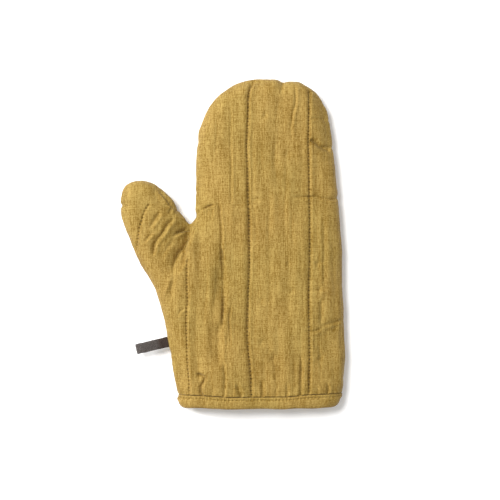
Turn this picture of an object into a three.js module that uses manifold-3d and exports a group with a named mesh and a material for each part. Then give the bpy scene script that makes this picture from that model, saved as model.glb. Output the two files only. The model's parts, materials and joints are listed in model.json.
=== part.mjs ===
// Quilted linen oven mitt, lying on its back: +Y to the fingertips, +X away from the thumb, +Z up.
// Each half (front and back) is three sheets: cover, wadding and lining, sewn together round the edge.
// The sheets are split where the mitt folds, so the fingers and the thumb can turn on the hand.
import * as THREE from "three";
import Module from "manifold-3d";
import { mergeVertices } from "three/addons/utils/BufferGeometryUtils.js";
import { LoftGeometry } from "three/addons/geometries/LoftGeometry.js";

const wasm = await Module();
wasm.setup();

// Driving dimensions, in millimetres.
const MOUTH_Y = -150; // the open end of the cuff; the fingertips reach +150
const SEAM_Z = 12; // height of the side seam above the table
const SEAM_GAP = 0.5; // half the space between the front and the back half, where the seam thread runs
const FRONT_RISE = 15; // from the seam gap up to the top of the front cover
const BACK_RISE = SEAM_Z - SEAM_GAP; // from the seam gap down to the table
const FRONT_ROUND = 20; // width of the rounded shoulder along the edge of the front
const BACK_ROUND = 12; // the same on the back, which lies flatter
const GAP = 0.3; // least clearance between neighbouring pieces
const CUT = 0.5; // half the clearance where a sheet is split at a fold
const LAYERS = { cover: [0, 1.2], wadding: [1.8, 6], lining: [6.6, 7.6] };

const TAPE = 1; // thickness of the cuff binding and of the hanging loop's tape
const HEM = 11.5; // width of the binding on each side of the cuff edge
const HEM_TOP = MOUTH_Y + HEM;
const HEM_INSET = TAPE + GAP; // the cover and the wadding are squeezed in by this under the binding
const SQUEEZE_TOP = HEM_TOP + 1.6; // they are squeezed a little beyond it, where it is stitched down

const FINGER_FOLD_Y = 35; // where the fingers turn on the hand
const CROTCH = new THREE.Vector2(-40, 18.7); // between the thumb and the fingers
const THUMB_HEEL = new THREE.Vector2(-70, -40); // lower end of the thumb's fold

const LOOP_ROOT = new THREE.Vector2(-57.9, -89.5); // where the hanging loop leaves the seam
const LOOP_OUT = new THREE.Vector2(-0.974, -0.227); // the way it points
const LOOP_LENGTH = 29;
const LOOP_WIDTH = 9.5;
const LOOP_SWELL = 4.4; // half the height of the loop at its round end
const LOOP_NECK = TAPE + 0.15; // half the height of the loop where its two ends meet at the seam
const LOOP_BEND = { root: 8, end: 12 }; // lengths over which its sides curve away from each end
const TAIL_LENGTH = 3.8; // of the loop's ends, inside the seam

const THREAD_WIDTH = 0.8;
const THREAD_THICK = 0.35;
const QUILT_LINES = { left: -39.5, middle: 14.6, right: 71.6 }; // X of the lines of quilting
const QUILT_ENDS = { left: -2, middle: 134, right: 122 }; // Y of their upper ends
const THUMB_QUILTING = { from: [-86, -3], to: [-77, 36] };
const QUILT_BREAK = 1.5; // half the break of a line of quilting at the finger fold
const TOPSTITCH = { outer: 0.6, inner: 0.95 }; // its place inside the binding's outer face
const SEAM_THREAD_INSET = 5; // from the seamed edge

// The seamed edge, from the thumb side of the cuff, round both tips, to the other side of the cuff.
// It starts and ends well below the cuff, because the mouth isn't sewn shut.
const EDGE_POINTS = [
  [-49.5, -200], [-49.5, -150], [-54, -115], [-58.5, -88], [-63.8, -61], [-71, -38.5], [-84, -17],
  [-94, 5], [-100.5, 24], [-101.8, 39], [-97, 53], [-84, 58], [-69, 53.5], [-57.5, 42.5], [-46, 27.5],
  [-40, 18.7], [-34.5, 24.5], [-33.5, 40], [-32.8, 78], [-29, 105], [-20.5, 125], [-6, 140], [14, 149],
  [34, 150], [54, 147.5], [74, 139.5], [86, 119], [91.5, 82], [97, 32], [99.5, -14], [99.5, -55],
  [101.8, -105], [98, -150], [98, -200],
];
const EDGE_STEPS = 260;
const SEAM_THREAD_STRIDE = 3; // the seam thread turns at every third of those points
const SLOPE_STEP = 0.4; // for the slope of the depth
const MERGE_DISTANCE = 1e-4;

const cut = new THREE.Vector2().subVectors(CROTCH, THUMB_HEEL).normalize();
const outOfCut = new THREE.Vector2(-cut.y, cut.x);

const COLOURS = { cover: 0xc2a05c, wadding: 0xe6e0d2, lining: 0xe2d8c3, thread: 0xc9ab6a, loop: 0x6e635f };

function edgeCurve() {
  const points = EDGE_POINTS.map(([x, y]) => new THREE.Vector3(x, y, 0));
  return new THREE.CatmullRomCurve3(points, false, "centripetal").getSpacedPoints(EDGE_STEPS);
}
const edge = edgeCurve();

function inside(x, y) {
  let within = false;
  for (let i = 0, j = edge.length - 1; i < edge.length; j = i, i += 1) {
    const [a, b] = [edge[i], edge[j]];
    const straddles = a.y > y !== b.y > y;
    if (straddles && x < ((b.x - a.x) * (y - a.y)) / (b.y - a.y) + a.x) within = !within;
  }
  return within;
}

// Distance in from the seamed edge; negative outside it.
function depth(x, y) {
  let nearest = Infinity;
  for (let i = 1; i < edge.length; i += 1) {
    const [a, b] = [edge[i - 1], edge[i]];
    const [dx, dy] = [b.x - a.x, b.y - a.y];
    const along = THREE.MathUtils.clamp(((x - a.x) * dx + (y - a.y) * dy) / (dx * dx + dy * dy), 0, 1);
    nearest = Math.min(nearest, Math.hypot(x - a.x - along * dx, y - a.y - along * dy));
  }
  return inside(x, y) ? nearest : -nearest;
}

// Height of each half's outer face. Its edge rises as a quarter ellipse, and the rest is level.
function shoulder(x, y, round) {
  const t = THREE.MathUtils.clamp(depth(x, y) / round, 0, 1);
  return Math.sqrt(1 - (1 - t) ** 2);
}

const HALVES = { front: [1, FRONT_ROUND, FRONT_RISE], back: [-1, BACK_ROUND, BACK_RISE] };

function height(half, x, y) {
  const [up, round, rise] = HALVES[half];
  return SEAM_Z + up * (SEAM_GAP + rise * shoulder(x, y, round));
}

// The outward normal of that face.
function normalAt(half, x, y) {
  const [up, round, rise] = HALVES[half];
  const inwards = new THREE.Vector2(
    depth(x + SLOPE_STEP, y) - depth(x - SLOPE_STEP, y),
    depth(x, y + SLOPE_STEP) - depth(x, y - SLOPE_STEP),
  ).normalize();
  const level = shoulder(x, y, round);
  const flat = Math.sqrt(1 - level * level) / round;
  return new THREE.Vector3(-inwards.x * flat, -inwards.y * flat, (up * level) / rise).normalize();
}

// The three panels that a sheet is split into. A panel is crossed by rows, which run across it at
// a distance q along its axis; spine(q) is a point of the row that is inside the panel.
const SPINES = { hand: 25, fingers: 28, thumb: { start: -33, lean: 0.52 } };
const PANELS = {
  hand: {
    place: (q, across) => new THREE.Vector2(across, q),
    spine: () => SPINES.hand,
    rows: [
      MOUTH_Y + HEM_INSET, SQUEEZE_TOP, SQUEEZE_TOP + 0.5, -105, -72, -48, THUMB_HEEL.y, -36, -30,
      -20, -4, 8, 14, CROTCH.y, 25, FINGER_FOLD_Y - CUT,
    ],
    flats: 2,
  },
  fingers: {
    place: (q, across) => new THREE.Vector2(across, q),
    spine: () => SPINES.fingers,
    start: FINGER_FOLD_Y + CUT,
    flatRows: 5,
    flats: 2,
  },
  thumb: {
    place: (q, across) => CROTCH.clone().addScaledVector(outOfCut, q).addScaledVector(cut, across),
    spine: (q) => SPINES.thumb.start + SPINES.thumb.lean * q,
    start: CUT,
    flatRows: 2,
    flats: 1,
  },
};
const ARC_STEPS = { columns: 3, rows: 6 }; // steps over a rounded edge
const MOST_ROUND = 0.42; // share of a narrow row that one rounded end may take
const LEAST_ROUND = 3; // least width of a rounded end
const SEARCH_STEP = 2; // first step of a search for the edge, and how often it is then halved
const BISECTIONS = 24;
const TIP_CLEARANCE = 0.05; // the last row of a tip stops this far inside it
const LEVEL = 0.01; // heights closer than this count as level

// Positions from low to high, close together over the rounded ends.
function spread(low, high, roundLow, roundHigh, flats, arcSteps) {
  const most = (high - low) * MOST_ROUND;
  const [a, b] = [roundLow, roundHigh].map((round) => Math.min(round, most));
  const arc = Array.from({ length: arcSteps }, (_, k) => 1 - Math.cos((k / arcSteps) * (Math.PI / 2)));
  const flat = Array.from({ length: flats + 1 }, (_, k) => low + a + ((high - low - a - b) * k) / flats);
  const before = a > 0 ? arc.map((t) => low + a * t) : [];
  const after = b > 0 ? arc.map((t) => high - b * t).reverse() : [];
  return [...before, ...flat, ...after];
}

// The farthest point from start, towards direction, for which keep(point) still holds.
function reach(start, direction, keep) {
  let good = start;
  let bad = start + direction * SEARCH_STEP;
  while (keep(bad)) {
    good = bad;
    bad += direction * SEARCH_STEP;
  }
  for (let i = 0; i < BISECTIONS; i += 1) {
    const middle = (good + bad) / 2;
    if (keep(middle)) good = middle;
    else bad = middle;
  }
  return good;
}

// Distance out from the thumb's fold, towards the thumb.
function beyondThumbFold({ x, y }) {
  return (x - CROTCH.x) * outOfCut.x + (y - CROTCH.y) * outOfCut.y;
}

function onHandSideOfThumb(point) {
  if (point.y < THUMB_HEEL.y) return true;
  return point.y < CROTCH.y ? beyondThumbFold(point) < -CUT : point.x > CROTCH.x;
}

// Where a row crosses the line at one depth from the edge, or the thumb's fold, on each side.
function rowEnds(name, q, least) {
  const panel = PANELS[name];
  const keep = (across) => {
    const point = panel.place(q, across);
    return depth(point.x, point.y) > least && (name !== "hand" || onHandSideOfThumb(point));
  };
  if (!keep(panel.spine(q))) return [panel.spine(q), panel.spine(q)];
  return [-1, 1].map((direction) => reach(panel.spine(q), direction, keep));
}

function rowPositions(name, half) {
  const panel = PANELS[name];
  if (panel.rows) return panel.rows;
  const keep = (q) => {
    const point = panel.place(q, panel.spine(q));
    return depth(point.x, point.y) > 0;
  };
  const tip = reach(panel.start, 1, keep) - TIP_CLEARANCE;
  return spread(panel.start, tip, 0, HALVES[half][1], panel.flatRows, ARC_STEPS.rows);
}

// A wall is the plane that a point of a split or open edge has to stay in.
function wallOf(name, q, column) {
  if (name === "thumb") return q === CUT ? new THREE.Vector3(outOfCut.x, outOfCut.y, 0) : null;
  const besideThumb = name === "hand" && q > THUMB_HEEL.y && q < CROTCH.y;
  if (besideThumb && column === 0) return new THREE.Vector3(outOfCut.x, outOfCut.y, 0);
  const open = q <= SQUEEZE_TOP || Math.abs(q - FINGER_FOLD_Y) <= CUT;
  return open ? new THREE.Vector3(0, 1, 0) : null;
}

// One row of the outer face: each point with its normal and its wall.
function row(name, half, q) {
  const [low, high] = rowEnds(name, q, 0);
  const [levelLow, levelHigh] = rowEnds(name, q, HALVES[half][1]);
  const [a, b] = [levelLow - low, high - levelHigh].map((width) => Math.max(width, LEAST_ROUND));
  const columns = spread(low, high, a, b, PANELS[name].flats, ARC_STEPS.columns);
  return columns.map((across, column) => {
    const { x, y } = PANELS[name].place(q, across);
    const point = new THREE.Vector3(x, y, height(half, x, y));
    return { point, normal: normalAt(half, x, y), wall: wallOf(name, q, column) };
  });
}

// The same row one inset further in, square to the face.
function insetRow(places, inset) {
  return places.map(({ point, normal, wall }) => {
    const step = normal.clone();
    if (wall) {
      const lean = normal.dot(wall);
      step.addScaledVector(wall, -lean).divideScalar(1 - lean * lean);
    }
    return point.clone().addScaledVector(step, -inset);
  });
}

function solidOf(geometry) {
  const plain = new THREE.BufferGeometry().copy(geometry);
  plain.deleteAttribute("normal");
  plain.deleteAttribute("uv");
  const merged = mergeVertices(plain, MERGE_DISTANCE);
  const mesh = new wasm.Mesh({
    numProp: 3,
    vertProperties: new Float32Array(merged.attributes.position.array),
    triVerts: new Uint32Array(merged.index.array),
  });
  return new wasm.Manifold(mesh);
}

function geometryOf(solid) {
  const mesh = solid.getMesh();
  const geometry = new THREE.BufferGeometry();
  geometry.setAttribute("position", new THREE.BufferAttribute(mesh.vertProperties, 3));
  geometry.setIndex(new THREE.BufferAttribute(mesh.triVerts, 1));
  geometry.computeVertexNormals();
  return geometry;
}

function subtractAll(geometry, tools) {
  return geometryOf(tools.reduce((solid, tool) => solid.subtract(solidOf(tool)), solidOf(geometry)));
}

// A loft whose ends are closed by strips: point k of a section faces point k from the section's end.
// Each of its side panes is split along the diagonal that is nearer level.
function closedLoft(sections) {
  const loft = new LoftGeometry(sections, { closed: true });
  const count = sections[0].length;
  const place = (row, k) => row * (count + 1) + k;
  const heightOf = (row, k) => sections[row][k % count].z;
  const index = [];
  for (let row = 0; row < sections.length - 1; row += 1) {
    for (let k = 0; k < count; k += 1) {
      const [a, b, c, d] = [place(row, k), place(row, k + 1), place(row + 1, k + 1), place(row + 1, k)];
      const climb = Math.abs(heightOf(row, k) - heightOf(row + 1, k + 1));
      const otherClimb = Math.abs(heightOf(row, k + 1) - heightOf(row + 1, k));
      if (climb < otherClimb - LEVEL) index.push(a, b, c, a, c, d);
      else index.push(a, b, d, b, c, d);
    }
  }
  const last = place(sections.length - 1, 0);
  for (let k = 0; k < count / 2 - 1; k += 1) {
    const [a, b, c, d] = [k, k + 1, count - 2 - k, count - 1 - k];
    index.push(a, c, b, a, d, c);
    index.push(last + a, last + b, last + c, last + a, last + c, last + d);
  }
  loft.setIndex(index);
  return loft;
}

// One sheet of one panel: its outer face row by row, closed by its inner face.
function sheet(name, half, layer) {
  const [outer, inner] = LAYERS[layer];
  const sections = rowPositions(name, half).map((q) => {
    const places = row(name, half, q);
    const squeeze = name === "hand" && q <= SQUEEZE_TOP ? HEM_INSET : 0;
    const over = insetRow(places, layer === "lining" ? outer : outer + squeeze);
    const under = insetRow(places, layer === "cover" ? inner + squeeze : inner);
    return half === "front" ? [...over, ...under.reverse()] : [...under, ...over.reverse()];
  });
  return closedLoft(sections);
}

// A straight bar on the table side, from one point to another.
function bar(from, to, width, low, high) {
  const length = from.distanceTo(to);
  const geometry = new THREE.BoxGeometry(length, width, high - low);
  geometry.rotateZ(Math.atan2(to.y - from.y, to.x - from.x));
  geometry.translate((from.x + to.x) / 2, (from.y + to.y) / 2, (low + high) / 2);
  return geometry;
}

// A flat thread through the given points, each with its direction from edge to edge.
function strand(points, sideways, thick) {
  const sections = points.map((point, k) => {
    const side = sideways[k].clone().multiplyScalar(THREAD_WIDTH / 2);
    const lift = new THREE.Vector3(0, 0, thick);
    const [left, right] = [point.clone().sub(side), point.clone().add(side)];
    return [left.clone().add(lift), right.clone().add(lift), right, left];
  });
  return closedLoft(sections);
}

// Lines of quilting: the straight runs that each panel has, by name, as [from, to].
const QUILT_FOOT = SQUEEZE_TOP + 1;
const upright = (line, low, high) =>
  [low, high].map((y) => new THREE.Vector2(QUILT_LINES[line], y));
const QUILTING = {
  hand: {
    left: upright("left", QUILT_FOOT, QUILT_ENDS.left),
    middle: upright("middle", QUILT_FOOT, FINGER_FOLD_Y - QUILT_BREAK),
    right: upright("right", QUILT_FOOT, FINGER_FOLD_Y - QUILT_BREAK),
  },
  fingers: {
    middle: upright("middle", FINGER_FOLD_Y + QUILT_BREAK, QUILT_ENDS.middle),
    right: upright("right", FINGER_FOLD_Y + QUILT_BREAK, QUILT_ENDS.right),
  },
  thumb: { line: [THUMB_QUILTING.from, THUMB_QUILTING.to].map(([x, y]) => new THREE.Vector2(x, y)) },
};
const QUILT_STEPS = { hand: 6, fingers: 10, thumb: 10 };
const GROOVE = { width: THREAD_WIDTH + 2 * GAP, depth: THREAD_THICK + GAP, below: -1 };

function frontQuilting([from, to], steps) {
  const along = to.clone().sub(from).normalize();
  const side = new THREE.Vector3(along.y, -along.x, 0);
  const points = Array.from({ length: steps + 1 }, (_, k) => {
    const at = from.clone().lerp(to, k / steps);
    return new THREE.Vector3(at.x, at.y, height("front", at.x, at.y) + GAP);
  });
  return strand(points, points.map(() => side), THREAD_THICK);
}

const backQuilting = ([from, to]) => bar(from, to, THREAD_WIDTH, 0, THREAD_THICK);

// Grooves in the table side of the back cover, where its quilting is pulled in.
const grooves = (name) =>
  Object.values(QUILTING[name]).map(([from, to]) => {
    const over = to.clone().sub(from).setLength(GAP);
    const ends = [from.clone().sub(over), to.clone().add(over)];
    return bar(ends[0], ends[1], GROOVE.width, GROOVE.below, GROOVE.depth);
  });

// Closed ring round the mouth at one inset and height: the front from left to right, then the back.
function mouthRing(y, inset) {
  const [front, back] = ["front", "back"].map((half) => insetRow(row("hand", half, y), inset));
  return [...front, ...back.reverse()];
}

// Sections of a ring that goes round the mouth, through corners given as [y, inset].
function mouthLoft(corners) {
  const rings = corners.map(([y, inset]) => mouthRing(y, inset));
  const sections = rings[0].map((_, k) => rings.map((ring) => ring[k]));
  sections.push(sections[0]);
  return new LoftGeometry(sections, { closed: true });
}

// The binding is a tape folded over the raw edge of all three sheets, inside and out.
function binding() {
  const [insideFace, deep] = [LAYERS.lining[1] + GAP, LAYERS.lining[1] + GAP + TAPE];
  const fold = MOUTH_Y + TAPE;
  return mouthLoft([
    [HEM_TOP, 0], [MOUTH_Y, 0], [MOUTH_Y, deep], [HEM_TOP, deep],
    [HEM_TOP, insideFace], [fold, insideFace], [fold, TAPE], [HEM_TOP, TAPE],
  ]);
}

// Topstitching of the binding: a thread all the way round, just above the binding's edge.
function topstitch() {
  const [low, high] = [HEM_TOP + GAP, HEM_TOP + GAP + THREAD_WIDTH];
  const { outer, inner } = TOPSTITCH;
  return mouthLoft([[high, outer], [low, outer], [low, inner], [high, inner]]);
}

// The hanging loop, seen from its side: outwards from the seam in x, height in y. The hole is the
// same outline one tape further in.
const LOOP_START = 0.5;
const LOOP_STEPS = 5;
function loopOutline(inset) {
  const outline = new THREE.Path();
  const [root, end] = [LOOP_START + 2 * inset, LOOP_LENGTH - LOOP_SWELL];
  const [neck, swell] = [LOOP_NECK - inset, LOOP_SWELL - inset];
  const [nearRoot, nearEnd] = [root + LOOP_BEND.root, end - LOOP_BEND.end];
  outline.moveTo(root, -neck);
  outline.bezierCurveTo(nearRoot, -neck, nearEnd, -swell, end, -swell);
  outline.absarc(end, 0, swell, -Math.PI / 2, Math.PI / 2, false);
  outline.bezierCurveTo(nearEnd, swell, nearRoot, neck, root, neck);
  outline.closePath();
  return outline;
}

function standLoop(geometry) {
  geometry.rotateX(Math.PI / 2);
  geometry.translate(0, LOOP_WIDTH / 2, 0);
  geometry.rotateZ(Math.atan2(LOOP_OUT.y, LOOP_OUT.x));
  geometry.translate(LOOP_ROOT.x, LOOP_ROOT.y, SEAM_Z);
  return geometry;
}

function hangingLoop() {
  const shape = new THREE.Shape(loopOutline(0).getPoints(LOOP_STEPS));
  shape.holes.push(new THREE.Path(loopOutline(TAPE).getPoints(LOOP_STEPS)));
  return standLoop(new THREE.ExtrudeGeometry(shape, { depth: LOOP_WIDTH, bevelEnabled: false }));
}

// The loop's two ends, one on the other, held in the side seam. With a clearance this is the slot
// that they need there, which runs on past the outside of the seam.
const SLOT_PAST_SEAM = 5;
function loopTails(clearance) {
  const out = clearance > 0 ? SLOT_PAST_SEAM : 0;
  const [length, thick] = [TAIL_LENGTH + clearance + out, 2 * (LOOP_NECK + clearance)];
  const geometry = new THREE.BoxGeometry(length, thick, LOOP_WIDTH + 2 * clearance);
  geometry.translate((out - TAIL_LENGTH - clearance) / 2, 0, LOOP_WIDTH / 2);
  return standLoop(geometry);
}

// Thread of the side seam along the part of the edge that keep allows.
function seamThread(keep) {
  const points = edge.filter((point) => keep(point));
  const inset = [];
  const sideways = [];
  points.forEach((point, k) => {
    if (k % SEAM_THREAD_STRIDE !== 0 && k !== points.length - 1) return;
    const [before, after] = [points[Math.max(0, k - 1)], points[Math.min(points.length - 1, k + 1)]];
    const along = after.clone().sub(before).normalize();
    const inwards = new THREE.Vector3(along.y, -along.x, 0);
    inset.push(point.clone().addScaledVector(inwards, SEAM_THREAD_INSET).setZ(SEAM_Z - THREAD_THICK / 2));
    sideways.push(inwards);
  });
  return strand(inset, sideways, THREAD_THICK);
}

const SEAM_THREADS = {
  hand_left: (p) => p.x < 0 && p.y > HEM_TOP && p.y < THUMB_HEEL.y - SEAM_THREAD_INSET,
  thumb: (p) => p.x < CROTCH.x && p.y > THUMB_HEEL.y && beyondThumbFold(p) > SEAM_THREAD_INSET,
  fingers: (p) => p.y > FINGER_FOLD_Y + QUILT_BREAK && p.x > CROTCH.x,
  hand_right: (p) => p.x > 0 && p.y > HEM_TOP && p.y < FINGER_FOLD_Y - QUILT_BREAK,
};

const mitt = new THREE.Group();

function add(name, geometry, colour, roughness = 0.9) {
  const material = new THREE.MeshStandardMaterial({ color: colour, roughness, metalness: 0 });
  const mesh = new THREE.Mesh(geometry, material);
  mesh.name = name;
  mitt.add(mesh);
}

function addSheets(name, half) {
  for (const layer of Object.keys(LAYERS)) {
    const tools = [];
    if (half === "back" && layer === "cover") tools.push(...grooves(name));
    if (name === "hand" && layer !== "lining") tools.push(loopTails(GAP));
    const geometry = sheet(name, half, layer);
    add(`${half}_${layer}_${name}`, tools.length ? subtractAll(geometry, tools) : geometry, COLOURS[layer]);
  }
}

function addQuilting(name) {
  for (const [line, run] of Object.entries(QUILTING[name])) {
    const label = name === "thumb" ? "quilting_thumb" : `quilting_${line}_${name}`;
    add(`${label}_front`, frontQuilting(run, QUILT_STEPS[name]), COLOURS.thread);
    add(`${label}_back`, backQuilting(run), COLOURS.thread);
  }
}

for (const name of Object.keys(PANELS)) {
  for (const half of Object.keys(HALVES)) addSheets(name, half);
  addQuilting(name);
}
for (const [name, keep] of Object.entries(SEAM_THREADS)) {
  add(`seam_thread_${name}`, seamThread(keep), COLOURS.thread);
}
add("cuff_binding", binding(), COLOURS.cover);
add("binding_topstitch", topstitch(), COLOURS.thread);
add("hanging_loop", hangingLoop(), COLOURS.loop);
add("loop_tails", loopTails(0), COLOURS.loop);

export default mitt;
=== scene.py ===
"""Looks of the quilted linen oven mitt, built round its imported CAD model.

Sizes are in millimetres until a mesh is made. The mitt lies on its back: +Y to the fingertips,
+X away from the thumb, +Z up. A panel is cut flat, so each of its points has a place in the plan
and a depth, its distance in from the seamed edge; the height follows from the depth.
"""

import json
import math

import bpy
import numpy as np
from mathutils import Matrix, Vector
from mathutils.geometry import delaunay_2d_cdt
from mathutils.kdtree import KDTree


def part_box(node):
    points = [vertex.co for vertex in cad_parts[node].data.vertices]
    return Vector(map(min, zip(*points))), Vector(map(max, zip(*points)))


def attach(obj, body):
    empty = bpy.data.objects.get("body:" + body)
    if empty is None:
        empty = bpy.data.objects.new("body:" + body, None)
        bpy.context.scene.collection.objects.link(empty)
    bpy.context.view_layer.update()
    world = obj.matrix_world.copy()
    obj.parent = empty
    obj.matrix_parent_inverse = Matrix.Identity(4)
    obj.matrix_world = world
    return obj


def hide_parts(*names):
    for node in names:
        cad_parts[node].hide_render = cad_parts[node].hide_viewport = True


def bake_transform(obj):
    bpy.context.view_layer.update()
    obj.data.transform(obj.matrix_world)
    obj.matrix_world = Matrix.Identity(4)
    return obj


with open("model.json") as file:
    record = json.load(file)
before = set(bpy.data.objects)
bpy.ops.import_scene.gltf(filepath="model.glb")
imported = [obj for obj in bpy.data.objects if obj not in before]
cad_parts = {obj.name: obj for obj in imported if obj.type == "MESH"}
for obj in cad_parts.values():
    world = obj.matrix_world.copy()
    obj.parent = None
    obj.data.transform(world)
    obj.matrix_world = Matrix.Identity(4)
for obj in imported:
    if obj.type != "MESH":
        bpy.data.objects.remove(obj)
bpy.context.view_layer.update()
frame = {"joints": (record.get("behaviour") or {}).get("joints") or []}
MM = 0.001


def node_box(name):
    """The low and high corners of a CAD node, in millimetres."""
    low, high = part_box(name)
    return np.array(low) / MM, np.array(high) / MM


# Places that the CAD model settles.
MOUTH_Y = node_box("cuff_binding")[0][1]
HEM_TOP = node_box("cuff_binding")[1][1]
SEAM_Z = float(np.mean([side[2] for side in node_box("seam_thread_fingers")]))
FRONT_TOP = node_box("front_cover_hand")[1][2]
QUILT_X = {
    line: float(np.mean([side[0] for side in node_box(f"quilting_{line}_hand_front")]))
    for line in ("left", "middle", "right")
}
JOINTS = {joint["name"]: joint for joint in frame["joints"]}

# The seamed edge, as in the CAD model: up the thumb side, round both tips and down to the cuff.
EDGE_POINTS = [
    (-49.5, -200), (-48.6, -150), (-54, -115), (-58.5, -88), (-64.3, -61), (-71.7, -38.9), (-84.3, -17.3),
    (-94, 5), (-100.5, 24), (-101.8, 39), (-97, 53), (-84, 58), (-69, 53.5), (-57.5, 42.5), (-49.4, 30.6),
    (-43.6, 23.9), (-38.3, 17.8), (-35.3, 20.8), (-32.8, 24.0), (-33.6, 30.0), (-33.2, 40), (-32.8, 78),
    (-29, 105), (-20.5, 125), (-6, 140), (14, 149), (34, 150), (54, 147.5), (74.4, 139.7), (86.6, 119),
    (92.2, 82), (97.6, 32), (100.1, -14), (100.2, -55), (102.3, -105), (98, -150), (98, -200),
]
# Where the edge is drawn in, or let out if the depth is under 0: x, y, how deep, how long.
NICKS = [
    (46.5, 147.6, 2.0, 7), (60, 146.5, -1.7, 12), (-100.9, 34.6, 2.2, 3.4), (-69.3, -41.5, 0.3, 5),
    (90.5, 87, 1.2, 3.5), (99.5, -70.7, 0.6, 3.5), (96, 41.5, 0.9, 4), (90.4, 112, 1.0, 3.5),
    (-32.8, 92, 0.5, 5), (-56, -100, 0.5, 5), (100.8, -122, 0.5, 5), (-66, 51, 0.5, 4),
    (100, -58, -1.7, 40), (101.5, -98, -1.0, 30), (100.5, -130, -1.6, 34), (86.5, 121, -0.8, 10),
    (-33.2, 102, -1.4, 12), (-33, 46, 0.4, 4), (98.5, -8, -0.8, 30), (-49.3, 30.2, 0.9, 2.5),
    (-51, -140, 1.6, 8), (-101.6, 26, -0.5, 8), (-54, 39, -1.5, 18), (89, 98, -0.7, 14), (92, 76, -0.5, 20),
]
EDGE_STEP = 0.25
PANEL_END = MOUTH_Y + 3.2  # the panels end inside the binding
SHEET = 0.6  # thickness of the linen
SEAM_GAP = 0.15  # half the space between the front and the back at the seam
SEAM_PULL = 0.9  # how far the seam is drawn in
FLOOR_GAP = 0.12  # the lowest that the cloth lies over the table

TAPE_BROWN = 9.5  # the loop's tape is darker and browner up to this far from the seam
UV_UNIT = 100  # millimetres of cloth for each unit of a piece's layout

FRONT = {"up": 1, "round": 15.0, "rise": FRONT_TOP - SEAM_Z - 1.2, "seam": SEAM_Z + SEAM_GAP}
BACK = {"up": -1, "round": 12.0, "rise": SEAM_Z - 0.4, "seam": SEAM_Z - SEAM_GAP}
STITCH = {"pitch": 3.28, "length": 2.1, "radius": 0.24, "proud": -0.04, "dip": 0.9}
SWELL_FROM, SWELL_CREST = -30.0, 9.5  # the palm bulges between these, across the mitt
THUMB_DIP = 4.6  # how far the base of the thumb goes under the hand
# The line where it does, from the cuff to the crotch.
THUMB_FOLD = [(-52, -34), (-46, -26), (-41.8, -18), (-39.8, -8),
              (-39.0, 2), (-38.3, 9), (-37.4, 15), (-37.0, 24)]
CUFF_CORNERS = {"left": (6.8, 5.8), "right": (10.5, 7.2)}  # width and height of the cuff's round corners

# The relief of the covers over their plain shape.
LOWEST, HIGHEST = 4.6, 1.6  # it stays within these
WADDING_LOWEST = 5.7
CREASE_SCALE = 1.5
WRINKLE_SCALE = 1.4

NOISE_TABLE = np.random.default_rng(7).random((256, 256))
OTHER_NOISE, OTHER_NOISE_ROUND = 300, 500  # shifts that give the back other noise than the front


def noise(x, y, seed=0):
    """Smooth noise from 0 to 1 with a wavelength of about 2."""
    x, y = np.asarray(x, float) + seed * 17.31, np.asarray(y, float) + seed * 5.77
    i, j = np.floor(x).astype(int), np.floor(y).astype(int)
    u, v = x - i, y - j
    u, v = u * u * (3 - 2 * u), v * v * (3 - 2 * v)

    def at(a, b):
        return NOISE_TABLE[a % 256, b % 256]

    return (
        at(i, j) * (1 - u) * (1 - v) + at(i + 1, j) * u * (1 - v)
        + at(i, j + 1) * (1 - u) * v + at(i + 1, j + 1) * u * v
    )


def smooth(t):
    """From 0 to 1 with level ends, as t goes from 0 to 1."""
    t = np.clip(t, 0, 1)
    return t * t * (3 - 2 * t)


def unit(rows):
    """The same directions, each of length 1."""
    return rows / np.maximum(np.linalg.norm(rows, axis=1), 1e-12)[:, None]


def distance_along(line):
    """The length of a line up to each of its points."""
    return np.concatenate([[0], np.cumsum(np.linalg.norm(np.diff(line, axis=0), axis=1))])


def tree_of(line):
    """For finding the nearest point of a line in the plan."""
    tree = KDTree(len(line))
    for index, place in enumerate(line):
        tree.insert((place[0], place[1], 0), index)
    tree.balance()
    return tree


def thumb_fold_x(y):
    """Where the thumb fold lies at each height of the plan."""
    return np.interp(y, [place[1] for place in THUMB_FOLD], [place[0] for place in THUMB_FOLD])


# ---------------------------------------------------------------- edge and plan

def spline(points, steps=60):
    """Centripetal Catmull-Rom curve through the points."""
    p = np.array(points, float)
    p = np.vstack([2 * p[0] - p[1], p, 2 * p[-1] - p[-2]])
    out = []
    for a, b, c, d in zip(p, p[1:], p[2:], p[3:]):
        t0 = 0.0
        t1 = t0 + math.sqrt(np.linalg.norm(b - a))
        t2 = t1 + math.sqrt(np.linalg.norm(c - b))
        t3 = t2 + math.sqrt(np.linalg.norm(d - c))
        t = np.linspace(t1, t2, steps, endpoint=False)[:, None]
        ab = (t1 - t) / (t1 - t0) * a + (t - t0) / (t1 - t0) * b
        bc = (t2 - t) / (t2 - t1) * b + (t - t1) / (t2 - t1) * c
        cd = (t3 - t) / (t3 - t2) * c + (t - t2) / (t3 - t2) * d
        abc = (t2 - t) / (t2 - t0) * ab + (t - t0) / (t2 - t0) * bc
        bcd = (t3 - t) / (t3 - t1) * bc + (t - t1) / (t3 - t1) * cd
        out.append((t2 - t) / (t2 - t1) * abc + (t - t1) / (t2 - t1) * bcd)
    return np.vstack(out + [p[-2:-1]])


def resample(line, step):
    """Points at even steps along a line."""
    along = distance_along(line)
    at = np.linspace(0, along[-1], max(2, round(along[-1] / step) + 1))
    return np.stack([np.interp(at, along, line[:, k]) for k in range(line.shape[1])], axis=1)


def blur(values, reach):
    """Smooths along a line, with reach in points."""
    kernel = np.exp(-0.5 * (np.arange(-3 * reach, 3 * reach + 1) / reach) ** 2)
    kernel /= kernel.sum()
    padded = np.pad(values, ((3 * reach, 3 * reach), (0, 0)), mode="edge")
    return np.stack([np.convolve(padded[:, k], kernel, "valid") for k in range(values.shape[1])], axis=1)


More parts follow.
